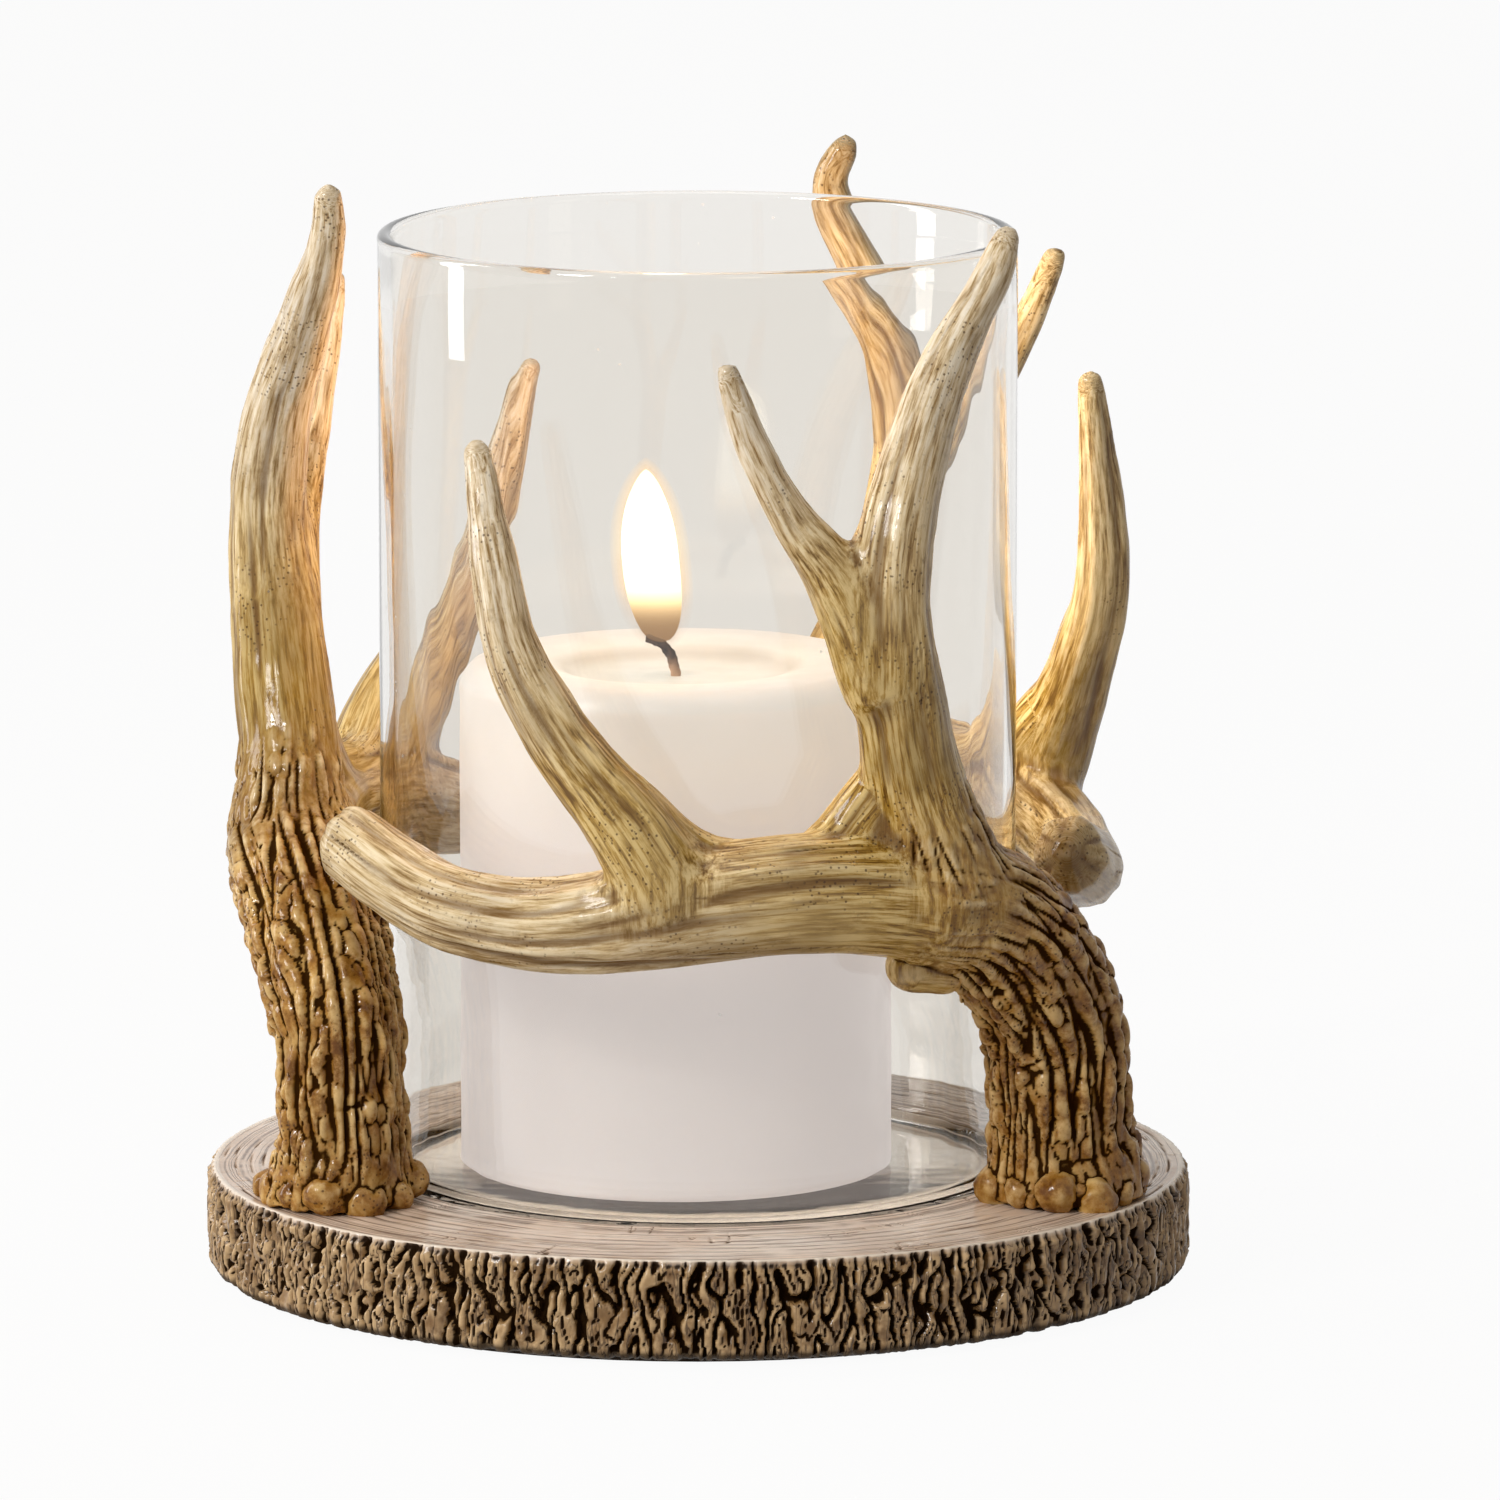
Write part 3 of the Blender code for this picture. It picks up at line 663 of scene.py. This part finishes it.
def make_antlers():
    look = antler_look()
    for number, (node, turn, foot, pale_wear_and_light, sets) in enumerate(ANTLERS):
        lines = {"shaft": centre_line(SHAFT, turn, foot)}
        for name, controls in (("beam", BEAM), ("tall", TALL), ("short", SHORT), ("low", LOW)):
            lines[name] = centre_line(controls, turn, 0.0, *sets.get(name, (0.0, 0.0)))
        lines["saddle"] = centre_line(SADDLE, turn)
        lines["knob"] = centre_line(KNOB, turn)
        data = cast_mesh(node)
        # Where a tine leaves its branch the cast flows together.
        verts = vertices(data)
        roots = [lines[name][at, :3] for name, at in (("short", 0), ("short", 4), ("low", 2), ("tall", 4))]
        gap = np.min([np.linalg.norm(verts - root, axis=1) for root in roots], axis=0)
        even = evened(data, int(16 / ANTLER_VOXEL ** 2))
        verts += np.exp(-(gap / ROOT_FLOW) ** 2)[:, None] * (even - verts)
        place_vertices(data, verts)
        plain_near, plain_wide = hollows(data)
        push, pearl, tip, flow, clear = sculpt(verts, lines, 7 + 31 * number)
        moved = verts + vertex_normals(data) * push[:, None]
        swell(moved, foot_beads(lines["shaft"], SHAFT_OVAL), 1.0, 0.5)
        swell(moved, lines["knob"] + (0.0, 0.0, -0.5, 0.2), 1.4, 0.15)
        # Keep clear of the glass, and let the foot sit on the slab.
        distance = np.hypot(moved[:, 0], moved[:, 1])
        nearest = np.maximum(distance, GLASS_RADIUS + 0.5) / np.maximum(distance, 1e-6)
        moved[:, :2] *= nearest[:, None]
        moved[:, 2] = np.maximum(moved[:, 2], BASE_TOP - 0.15)
        place_vertices(data, moved)
        near, wide = hollows(data)
        # Colour from the shape: hollows darker, a dark wash with painted shade; ridges paler, rubbed paint
        # with a painted highlight.
        beaded = 0.9 * smooth(0.0, 0.14, near) + 0.75 * smooth(0.02, 0.45, wide)
        cavity = pearl * beaded + (1 - pearl) * 0.7 * smooth(0.04, 0.20, near)
        # The roundness of the branch itself is no ridge.
        out_near = np.minimum(plain_near, 0) - near
        out_wide = np.minimum(plain_wide, 0) - wide
        ridge = 0.7 * smooth(0.02, 0.18, out_near) + 0.5 * smooth(0.05, 0.35, out_wide)
        # The tips are paled per antler, partly rubbed paint and partly painted light and shade.
        add_attributes(data, cavity=np.clip(cavity, 0, 1), groove=smooth(0.0, 0.22, -out_wide),
                       ridge=np.clip(ridge, 0, 1), pearl=pearl, tip=np.clip(tip * pale_wear_and_light, 0, 1), flow=flow,
                       clear=clear)
        new_piece(node + "_sculpted", data, "holder", look, [node])


# Base slab.

def slab_radius(angles):
    waver = np.cos(2 * angles + 0.6) + 0.7 * np.cos(3 * angles + 1.9) + 0.5 * np.cos(5 * angles - 0.8)
    return BASE_RADIUS + BASE_WAVER * waver / 2


def bark(angles, heights):
    """Depth of the bark in mm, 0 on the upright ridges, which run together with narrow grooves between."""
    spot = on_ring(angles, BASE_RADIUS, heights)
    warp = np.stack([noise(spot / 6.0, 300), noise(spot / 6.0, 301), noise(spot / 8.0, 302)], -1)
    warp += 0.25 * np.stack([noise(spot / 2.4, seed) for seed in (303, 304, 305)], -1)
    bent = spot + warp * (1.4, 1.4, 3.0)
    wide = smooth(0.0, 0.26, np.abs(noise(bent / (2.5, 2.5, 14.0), 330)))
    slim = smooth(0.0, 0.26, np.abs(noise(bent / (1.5, 1.5, 6.0), 331)))
    lump = 0.5 + 0.5 * noise(bent / (2.4, 2.4, 5.0), 332)
    high = 0.48 * wide + 0.20 * slim * wide + 0.46 * wide * lump
    return BARK_DEPTH * (1 - np.clip(high, 0, 1))


def slab_top(points):
    """Growth rings on the cut face: height in mm and cavity."""
    radius = np.hypot(points[:, 0], points[:, 1])
    angle = np.arctan2(points[:, 1], points[:, 0])
    spread = radius * BASE_RADIUS / slab_radius(angle)
    wave = 1.5 * noise(on_ring(angle, 2.2, spread / 24.0), 400)
    wave += 0.35 * noise(on_ring(angle, 9.0, spread / 5.0), 401)
    year = (spread + wave) / RING_WIDTH
    uneven = year + 0.45 * noise(on_line(year * 0.9), 402)
    phase = uneven - np.floor(uneven)
    bold = lattice(on_line(np.floor(uneven)), 403)
    line = smooth(0.72, 0.90, phase) * (1 - smooth(0.93, 1.0, phase)) * (0.35 + 0.65 * bold)
    breaks = smooth(-0.35, 0.15, noise(on_ring(angle, 7.0, spread / 3.0), 404))
    check = noise(on_ring(angle, 26.0, spread / 30.0), 405)
    ray = (1 - smooth(0.0, 0.07, np.abs(check))) * smooth(0.1, 0.5, noise(points / 11.0, 406))
    line = line * breaks
    return -0.42 * line - 0.3 * ray + 0.10 * noise(points / 7.0, 407), np.clip(line + 0.7 * ray, 0, 1)


def slab_look():
    look = Look("slab_resin_painted")
    cavity, ridge, zone = map(look.attribute, ("cavity", "ridge", "zone"))
    place = look.position()
    patch = look.texture(place, 38.0, 5.0, 0.6)
    mottle = look.texture(place, 120.0, 4.0, 0.6)
    grit = look.texture(place, 260.0, 4.0, 0.6)
    # Fine growth rings: thin dark lines at uneven radii, broken here and there.
    wave = look.times(look.texture(place, 22.0, 3.0), 0.004)
    year = look.node('ShaderNodeTexNoise', noise_dimensions='1D', Scale=360.0, Detail=2.0, Roughness=0.7,
                     W=look.maths('ADD', look.from_axis(), wave))
    black, white = (0.0, 0.0, 0.0), (1.0, 1.0, 1.0)
    line = look.ramp(year.outputs["Fac"], (0.44, black), (0.485, white), (0.53, black))
    line = look.mix(look.spread(look.texture(place, 55.0, 3.0), 0.32, 0.46), black, line)
    face = look.ramp(patch, (0.30, (0.54, 0.39, 0.28)), (0.50, (0.72, 0.56, 0.44)),
                     (0.70, (0.86, 0.75, 0.65)))
    face = look.mix(look.spread(grit, 0.42, 0.68, 0.0, 0.35), face, (0.70, 0.60, 0.50))
    face = look.mix(look.times(line, 0.75), face, (0.095, 0.046, 0.022))
    face = look.mix(look.spread(cavity, 0.05, 0.85, 0.0, 0.9), face, (0.065, 0.030, 0.014))
    # A painted highlight along the lip of the cut face.
    face = look.mix(look.spread(ridge, 0.2, 0.8, 0.0, 0.8), face, (0.86, 0.77, 0.66))
    # Bark: brown, lighter on the ridges, rubbed paint with a painted highlight, with fine upright cracks;
    # the grooves are near black, a dark wash with painted shade.
    crack = look.maths('SUBTRACT', look.texture(place, 520.0, 2.0, 0.5, (1.0, 1.0, 0.14)), 0.5)
    crack = look.spread(look.maths('ABSOLUTE', crack, 0.0), 0.035, 0.0)
    crust = look.ramp(mottle, (0.30, (0.11, 0.050, 0.015)), (0.50, (0.25, 0.140, 0.052)),
                      (0.70, (0.50, 0.34, 0.18)))
    crest_wear_and_highlight = look.times(ridge, look.spread(grit, 0.35, 0.62, 0.10, 0.80))
    crust = look.mix(crest_wear_and_highlight, crust, (0.62, 0.43, 0.23))
    crust = look.mix(look.times(crack, 0.75), crust, (0.040, 0.016, 0.005))
    crust = look.mix(look.spread(cavity, 0.02, 0.42, 0.0, 0.98), crust, (0.012, 0.005, 0.0015))
    colour = look.mix(zone, face, crust)
    # The seat is pale, lightened as painted light against the shade under the glass.
    seat_lightened = look.ramp(patch, (0.3, (0.74, 0.63, 0.52)), (0.7, (0.86, 0.77, 0.67)))
    colour = look.mix(look.spread(zone, 1.2, 1.9), colour, seat_lightened)
    # The lacquer lies on the high places and not in the grooves.
    look.set(Base_Color=colour, Roughness=look.spread(grit, 0.3, 0.7, 0.42, 0.62), Specular_IOR_Level=0.0,
             Coat_Weight=look.spread(cavity, 0.05, 0.45, 0.65, 0.0), Coat_Roughness=0.17)
    height = look.maths('SUBTRACT', grit, look.times(line, 0.8))
    height = look.maths('SUBTRACT', height, look.times(look.times(crack, zone), 0.9))
    look.bump(height, 0.40, 0.0005)
    return look.material


def make_slab():
    sides, across, down = ((1440, 64, 44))
    angles = np.linspace(0, 2 * np.pi, sides, endpoint=False)
    edge = slab_radius(angles)
    rows, zones, lines = [], [], []

    def add(radius, height, zone, dark):
        """One ring; zone is 0 on the cut face and underneath, 1 on the bark and 2 in the seat."""
        rows.append(ring(radius, height, angles))
        zones.append(np.broadcast_to(zone, angles.shape))
        lines.append(np.broadcast_to(dark, angles.shape))

    floor, hub = BASE_TOP - SEAT_DEPTH, 1.5
    for radius in (hub, 20.0, 40.0, 54.0, SEAT_RADIUS - 0.4):
        add(radius, floor, 2.0, 0.0)
    add(SEAT_RADIUS, floor + 0.3, 2.0, 0.0)
    add(SEAT_RADIUS, BASE_TOP - 0.5, 2.0, 0.0)
    add(SEAT_RADIUS + 0.15, BASE_TOP - 0.15, 2.0, 0.0)
    start = SEAT_RADIUS + 0.6
    for step in np.linspace(0, 1, across):
        radius = start + (edge - SLAB_LIP - start) * step
        height, dark = slab_top(ring(radius, BASE_TOP, angles))
        add(radius, BASE_TOP + height * smooth(0.0, 0.06, step), 0.0, dark)
    # The lip is broken by the tops of the bark ridges.
    depth = bark(angles, np.full(sides, BASE_TOP - 1.0))
    for inset, drop, share in ((1.7, -0.10, 0.0), (1.2, -0.16, 0.0), (0.8, -0.05, 0.1), (0.5, 0.25, 0.5),
                               (0.3, 0.85, 0.9)):
        add(edge - inset - depth * share * 0.8, BASE_TOP - drop, share, 0.0)
    foot = BASE_BOTTOM + 2.4
    for height in np.linspace(BASE_TOP - 1.5, foot, down):
        add(edge + BARK_RISE - bark(angles, np.full(sides, height)), height, 1.0, 0.0)
    depth = bark(angles, np.full(sides, foot))
    # The foot of the bark and the underside are drawn darker.
    for inset, lift in ((0.4, 1.3), (1.1, 0.5), (2.4, 0.0)):
        add(edge + BARK_RISE - inset - depth * 0.8, BASE_BOTTOM + lift, 1.0, 0.3)
    for radius in (80.0, 40.0, hub):
        add(radius, BASE_BOTTOM, 0.0, 0.3)
    data = lathe_mesh("base_slab_log", rows)
    near, wide = hollows(data)
    zone = np.concatenate(zones)
    crust = np.where(zone > 1.0, 0.0, zone)
    # Growth-ring lines, and the bark's grooves darker, a dark wash with painted shade; its ridges paler,
    # rubbed paint with a painted highlight.
    cavity = np.concatenate(lines) + crust * (0.8 * smooth(0.0, 0.18, near) + 0.8 * smooth(0.0, 0.45, wide))
    ridge = crust * (0.7 * smooth(0.03, 0.24, -near) + 0.5 * smooth(0.08, 0.50, -wide))
    places = np.concatenate(rows)
    rim = slab_radius(np.arctan2(places[:, 1], places[:, 0])) - np.hypot(places[:, 0], places[:, 1])
    # A pale line along the lip of the cut face: a painted highlight.
    ridge += (zone < 0.2) * (places[:, 2] > BASE_TOP - 0.3) * smooth(SLAB_LIP, 1.5, rim)
    add_attributes(data, zone=zone, cavity=np.clip(cavity, 0, 1), ridge=np.clip(ridge, 0, 1))
    new_piece("base_slab_log", data, "holder", slab_look(), ["base_slab"])


# Glass, candle, wick and flame.

def glass_look():
    look = Look("clear_hurricane_glass")
    place = look.position()
    dusty = look.spread(look.texture(place, 26.0, 3.0), 0.56, 0.70)
    speck = look.times(look.spread(look.scatter(210.0), 0.09, 0.03), dusty)
    # The warm grey tint darkens what is seen through the glass: the glass's own colour, deepened as painted
    # shade.
    look.set(Base_Color=(0.887, 0.866, 0.830), Roughness=look.spread(speck, 0.0, 1.0, 0.0, 0.5), IOR=1.46,
             Transmission_Weight=look.spread(speck, 0.0, 1.0, 1.0, 0.80))
    look.bump(look.texture(place, 55.0, 2.0, 0.5, (1.0, 1.0, 0.06)), 0.10, 0.002)
    # Light passes the glass without a shadow.
    clear = look.node('ShaderNodeBsdfTransparent')
    path = look.node('ShaderNodeLightPath')
    blend_shaders(look.tree, path.outputs["Is Shadow Ray"], look.shader, clear, look.output)
    return look.material


def make_glass():
    angles = np.linspace(0, 2 * np.pi, 192, endpoint=False)
    outer, inner, half = GLASS_RADIUS, GLASS_RADIUS - GLASS_WALL, GLASS_WALL / 2
    floor, fillet, heel = GLASS_LOW + GLASS_FLOOR, 3.5, 0.7
    # The ring where the floor meets the fillet is there twice, so that the floor shades flat.
    profile = [(0.5, floor), (inner - fillet, floor)]
    profile += arc((inner - fillet, floor + fillet), (fillet, fillet), -90, 0, 7)
    profile += [(inner, height) for height in np.linspace(GLASS_LOW + 12.0, GLASS_HIGH - 2.0, 10)]
    profile += arc((inner + half, GLASS_HIGH - half), (half + 0.1, half), 180, 0, 9)
    profile += [(outer, height) for height in np.linspace(GLASS_HIGH - 2.0, GLASS_LOW + 3.0, 10)]
    profile += arc((outer - heel, GLASS_LOW + heel), (heel, heel), 0, -90, 6)
    profile.append((0.5, GLASS_LOW))
    data = lathe_mesh("glass_cylinder_clear", [ring(radius, height, angles) for radius, height in profile])
    new_piece("glass_cylinder_clear", data, "glass", glass_look(), ["glass_cylinder"])


def candle_look():
    look = Look("white_wax_warm")
    place = look.position()
    height = look.height()
    cloud = look.texture(place, 30.0, 4.0, 0.5)
    fine = look.texture(place, 160.0, 3.0, 0.5)
    colour = look.ramp(cloud, (0.30, (0.16, 0.150, 0.143)), (0.60, (0.175, 0.162, 0.155)),
                       (0.80, (0.19, 0.176, 0.169)))
    # Painted light: the side glows as if lit through the wax, more towards the flame, which also evens out
    # its lit and shaded sides.
    lit = look.spread(height, (CANDLE_HIGH - 62.0) * MM, (CANDLE_HIGH + 2.0) * MM)
    side = look.ramp(lit, (0.0, (0.52, 0.48, 0.475)), (0.45, (0.61, 0.54, 0.51)), (0.85, (0.67, 0.59, 0.51)),
                     (1.0, (0.65, 0.59, 0.52)))
    # Painted light: the pool and the brim glow alike, and the wall of the pool is a darker ring of painted
    # shade between them.
    out = look.times(look.from_axis(CANDLE_X * MM), 1.0 / (CANDLE_RADIUS * MM))
    out = look.maths('ADD', out, look.spread(cloud, 0.3, 0.7, -0.03, 0.03))
    top = look.ramp(out, (0.0, (0.70, 0.67, 0.57)), (0.42, (0.64, 0.61, 0.52)), (0.53, (0.50, 0.455, 0.37)),
                    (0.60, (0.70, 0.67, 0.58)), (0.90, (0.62, 0.58, 0.52)))
    upper = look.spread(height, (CANDLE_HIGH - 4.0) * MM, (CANDLE_HIGH - 3.2) * MM)
    look.set(Base_Color=colour, Roughness=look.spread(fine, 0.3, 0.7, 0.38, 0.5), Subsurface_Weight=0.25,
             Subsurface_Radius=(0.012, 0.007, 0.004), Subsurface_Scale=1.0,
             Emission_Color=look.mix(upper, side, top), Emission_Strength=1.0)
    look.bump(look.maths('ADD', cloud, look.times(fine, 0.3)), 0.12, 0.0008)
    return look.material


def make_candle():
    sides, bore = 160, 1.4
    angles = np.linspace(0, 2 * np.pi, sides, endpoint=False)
    dip = CANDLE_HIGH - POOL_DEPTH
    turn = on_ring(angles, 1.0, np.zeros(sides))
    rows = []

    def add(radius, height, waver=0.0, seed=0):
        wave = waver * noise(turn * 1.6 + seed, 500)
        rows.append(ring(radius + wave, height + 0.25 * wave, angles, (CANDLE_X, 0.0)))

    add(bore, dip - 6.0)
    add(bore, dip)
    for share in (0.3, 0.55, 0.75):
        add(POOL_RADIUS * share, dip, 0.2)
    for share, lift in ((0.86, 0.12), (0.93, 0.32), (0.98, 0.56), (1.04, 0.72), (1.12, 0.84), (1.25, 0.92)):
        add(POOL_RADIUS * share, dip + POOL_DEPTH * lift, 0.7, 1)
    shoulder, brim, heel = 4.6, 30.0, 1.6
    for share in np.linspace(0.0, 1.0, 5)[:-1]:
        add(brim + (CANDLE_RADIUS - shoulder - brim) * share, CANDLE_HIGH - 0.15 + 0.15 * share, 0.3, 2)
    corner = (CANDLE_RADIUS - shoulder, CANDLE_HIGH - shoulder)
    for radius, height in arc(corner, (shoulder, shoulder), 90, 0, 9):
        add(radius, height, 0.25, 3)
    for height in np.linspace(CANDLE_HIGH - 8.0, CANDLE_LOW + 2.0, 30):
        wave = 0.16 * noise(on_ring(angles, 2.0, np.full(sides, height / 17.0)), 510)
        rows.append(ring(CANDLE_RADIUS - 0.1 + wave, height, angles, (CANDLE_X, 0.0)))
    for radius, height in arc((CANDLE_RADIUS - heel, CANDLE_LOW + heel), (heel, heel), 0, -90, 5):
        add(radius, height)
    add(20.0, CANDLE_LOW)
    add(bore, CANDLE_LOW)
    data = lathe_mesh("candle_wax", rows)
    new_piece("candle_wax", data, "pillar", candle_look(), ["candle"])


def wick_path(steps):
    """Centre of the wick from below the pool to its curled end, in mm."""
    free = CANDLE_HIGH - POOL_DEPTH
    points = [(0.0, 0.0, free - 5.0), (0.0, 0.0, free - 1.0)]
    for share in np.linspace(0.0, 1.0, steps):
        aside = WICK_CURL * (0.2 * share + 0.8 * share ** 2.4)
        points.append((-aside, -0.6 * share, free + WICK_RISE * math.sin(share * 1.45)))
    return np.array(points) + (CANDLE_X, 0.0, 0.0)


def wick_look():
    look = Look("charred_cotton")
    char = look.texture(look.position(), 900.0, 4.0, 0.6)
    burnt = look.ramp(char, (0.35, (0.006, 0.004, 0.003)), (0.60, (0.05, 0.022, 0.012)),
                      (0.75, (0.12, 0.055, 0.03)))
    above = look.spread(look.height(), (CANDLE_HIGH - 3.5) * MM, (CANDLE_HIGH + 1.5) * MM)
    look.set(Base_Color=look.mix(above, (0.42, 0.25, 0.14), burnt), Roughness=0.85)
    look.bump(char, 0.6, 0.0003)
    return look.material


def make_wick():
    path = wick_path(26)
    angles = np.linspace(0, 2 * np.pi, 18, endpoint=False)
    tangent = np.gradient(path, axis=0)
    tangent /= np.linalg.norm(tangent, axis=1, keepdims=True)
    rows = []
    for index, (place, along) in enumerate(zip(path, tangent)):
        side = np.cross(along, (0.0, 1.0, 0.0))
        side /= np.linalg.norm(side)
        other = np.cross(side, along)
        late = max(0.0, (index - 14) / 14.0)
        braid = 0.13 * np.cos(3 * angles + index * 0.85) + 0.08 * np.cos(5 * angles - index * 1.1)
        radius = WICK_RADIUS * (0.92 - 0.25 * late) + braid
        around = np.cos(angles)[:, None] * side + np.sin(angles)[:, None] * other
        rows.append(place + radius[:, None] * around)
    data = lathe_mesh("wick_braid", rows[::-1])
    new_piece("wick_braid", data, "pillar", wick_look(), ["wick"])


def flame_rows(wide, low, high):
    angles = np.linspace(0, 2 * np.pi, 48, endpoint=False)
    rows = []
    for share in np.linspace(0.0, 1.0, 48):
        away = 2.0 * share ** 0.92 - 1.0
        fat = (1.0 - away ** 2.2) ** 0.68 if away > 0 else (1.0 - (-away) ** 3.0) ** 0.55
        radius = max(0.05, wide * fat)
        lean = 1.4 * (1 - share) ** 2 - 0.9 * math.sin(share * 2.2) - 0.6 * share ** 3
        height = FLAME_FOOT[2] + low + (high - low) * share
        rows.append(ring(radius, height, angles, (FLAME_FOOT[0] + lean, FLAME_FOOT[1])))
    return rows[::-1]


def flame_look(name, low, stops, clear_low, clear_high, strength):
    look = Look(name)
    up = look.spread(look.height(), (FLAME_FOOT[2] + low) * MM, (FLAME_FOOT[2] + FLAME_TALL) * MM)
    flicker = look.spread(look.texture(look.position(), 60.0, 2.0), 0.2, 0.6, 0.92, 1.0)
    look.set(Base_Color=(0.0, 0.0, 0.0), Roughness=1.0, Specular_IOR_Level=0.0,
             Emission_Color=look.ramp(up, *stops), Emission_Strength=strength,
             Alpha=look.times(look.spread(up, 0.0, 0.3, clear_low, clear_high), flicker))
    return look.material


def make_flame():
    low, high = -1.0, FLAME_TALL - 1.6
    core = lathe_mesh("flame_core", flame_rows(FLAME_WIDE, low, high))
    bright = ((0.0, (0.60, 0.34, 0.14)), (0.12, (1.0, 0.74, 0.40)), (0.28, (1.0, 0.93, 0.74)),
              (0.75, (1.0, 0.95, 0.82)), (1.0, (1.0, 0.86, 0.56)))
    new_piece("flame_core", core, "pillar", flame_look("flame_light", 0.0, bright, 0.10, 1.0, 3.2))
    # Thin shells one outside the other make the soft edge.
    shells = []
    for step in (1, 2, 3, 4):
        shells.append(flame_rows(FLAME_WIDE + 0.5 * step, low - 0.3 * step, high + 0.55 * step))
    halo = lathe_mesh("flame_halo", *shells)
    golden = ((0.0, (0.40, 0.24, 0.16)), (0.25, (1.0, 0.60, 0.22)), (0.6, (1.0, 0.74, 0.36)),
              (1.0, (1.0, 0.64, 0.26)))
    new_piece("flame_halo", halo, "pillar", flame_look("flame_edge", -2.0, golden, 0.02, 0.06, 1.6))


# The CAD nodes that stay: screws and felt.

def dress_hidden_nodes():
    steel = Look("zinc_steel")
    turned = steel.texture(steel.position(), 700.0, 3.0, 0.5, (1.0, 1.0, 6.0))
    grey = steel.ramp(turned, (0.3, (0.42, 0.42, 0.43)), (0.7, (0.62, 0.62, 0.61)))
    steel.set(Base_Color=grey, Metallic=1.0, Roughness=steel.spread(turned, 0.3, 0.7, 0.28, 0.45))
    steel.bump(turned, 0.2, 0.0002)
    felt = Look("brown_felt_nap")
    nap = felt.texture(felt.position(), 900.0, 5.0, 0.7)
    brown = felt.ramp(nap, (0.3, (0.045, 0.03, 0.02)), (0.7, (0.14, 0.10, 0.07)))
    felt.set(Base_Color=brown, Roughness=0.95, Sheen_Weight=0.4)
    felt.bump(nap, 0.6, 0.0005)
    for node in ("screw_front", "screw_left", "screw_back", "felt_pad"):
        look = felt if node == "felt_pad" else steel
        NODES[node].data.materials.clear()
        NODES[node].data.materials.append(look.material)


# Floor, light and camera.

def make_stage():
    data = bpy.data.meshes.new("floor")
    strips = np.linspace(-FLOOR_REACH, FLOOR_REACH, 5)
    verts = [(x, y, 0.0) for y in strips for x in (-FLOOR_REACH, FLOOR_REACH)]
    faces = [(2 * i, 2 * i + 1, 2 * i + 3, 2 * i + 2) for i in range(len(strips) - 1)]
    data.from_pydata(verts, [], faces)
    data.shade_smooth()
    floor = bpy.data.objects.new("floor", data)
    bpy.context.scene.collection.objects.link(floor)
    look = Look("pale_floor")
    look.set(Base_Color=(0.53, 0.50, 0.46), Roughness=0.9)
    # The camera sees it nearly white, with a faint shadow.
    white = look.node('ShaderNodeEmission')
    share = look.times(seen_directly(look.tree), 0.95)
    blend_shaders(look.tree, share, look.shader, white, look.output)
    data.materials.append(look.material)


def make_light():
    for name, place, size, power, colour in LIGHTS:
        data = bpy.data.lights.new(name, 'AREA')
        data.shape = 'RECTANGLE'
        data.size, data.size_y = size
        data.energy = power
        data.color = colour
        lamp = bpy.data.objects.new(name, data)
        lamp.location = place
        lamp.rotation_mode = 'QUATERNION'
        lamp.rotation_quaternion = (Vector(LIGHT_AIM) - Vector(place)).to_track_quat('-Z', 'Y')
        bpy.context.scene.collection.objects.link(lamp)
    data = bpy.data.lights.new("flame_glow", 'POINT')
    data.energy = FLAME_POWER
    data.color = FLAME_COLOUR
    data.shadow_soft_size = FLAME_LIGHT_SIZE
    lamp = bpy.data.objects.new("flame_glow", data)
    lamp.location = (FLAME_FOOT[0] * MM, FLAME_FOOT[1] * MM, (CANDLE_HIGH + FLAME_LIGHT_RISE) * MM)
    lamp.visible_camera = False
    lamp.visible_glossy = False
    lamp.visible_transmission = False
    bpy.context.scene.collection.objects.link(lamp)


def make_world():
    world = bpy.data.worlds.new("studio")
    bpy.context.scene.world = world
    world.use_nodes = True
    tree = world.node_tree
    warm = tree.nodes["Background"]
    warm.inputs["Color"].default_value = (*ROOM_COLOUR, 1.0)
    warm.inputs["Strength"].default_value = ROOM_STRENGTH
    white = tree.nodes.new('ShaderNodeBackground')
    white.inputs["Color"].default_value = (1.0, 1.0, 1.0, 1.0)
    blend_shaders(tree, seen_directly(tree), warm, white, tree.nodes["World Output"])


def make_camera():
    data = bpy.data.cameras.new("photo_camera")
    data.sensor_width = 36.0
    data.lens = CAMERA_LENS
    data.clip_end = 50.0
    camera = bpy.data.objects.new("photo_camera", data)
    camera.location = CAMERA_PLACE
    camera.rotation_euler = (math.radians(90.0 - CAMERA_DOWN), 0.0, math.radians(CAMERA_TURN))
    bpy.context.scene.collection.objects.link(camera)
    bpy.context.scene.camera = camera


make_camera()
make_antlers()
make_slab()
make_glass()
make_candle()
make_wick()
make_flame()
dress_hidden_nodes()
make_stage()
make_light()
make_world()
bpy.context.scene.view_settings.view_transform = 'Standard'
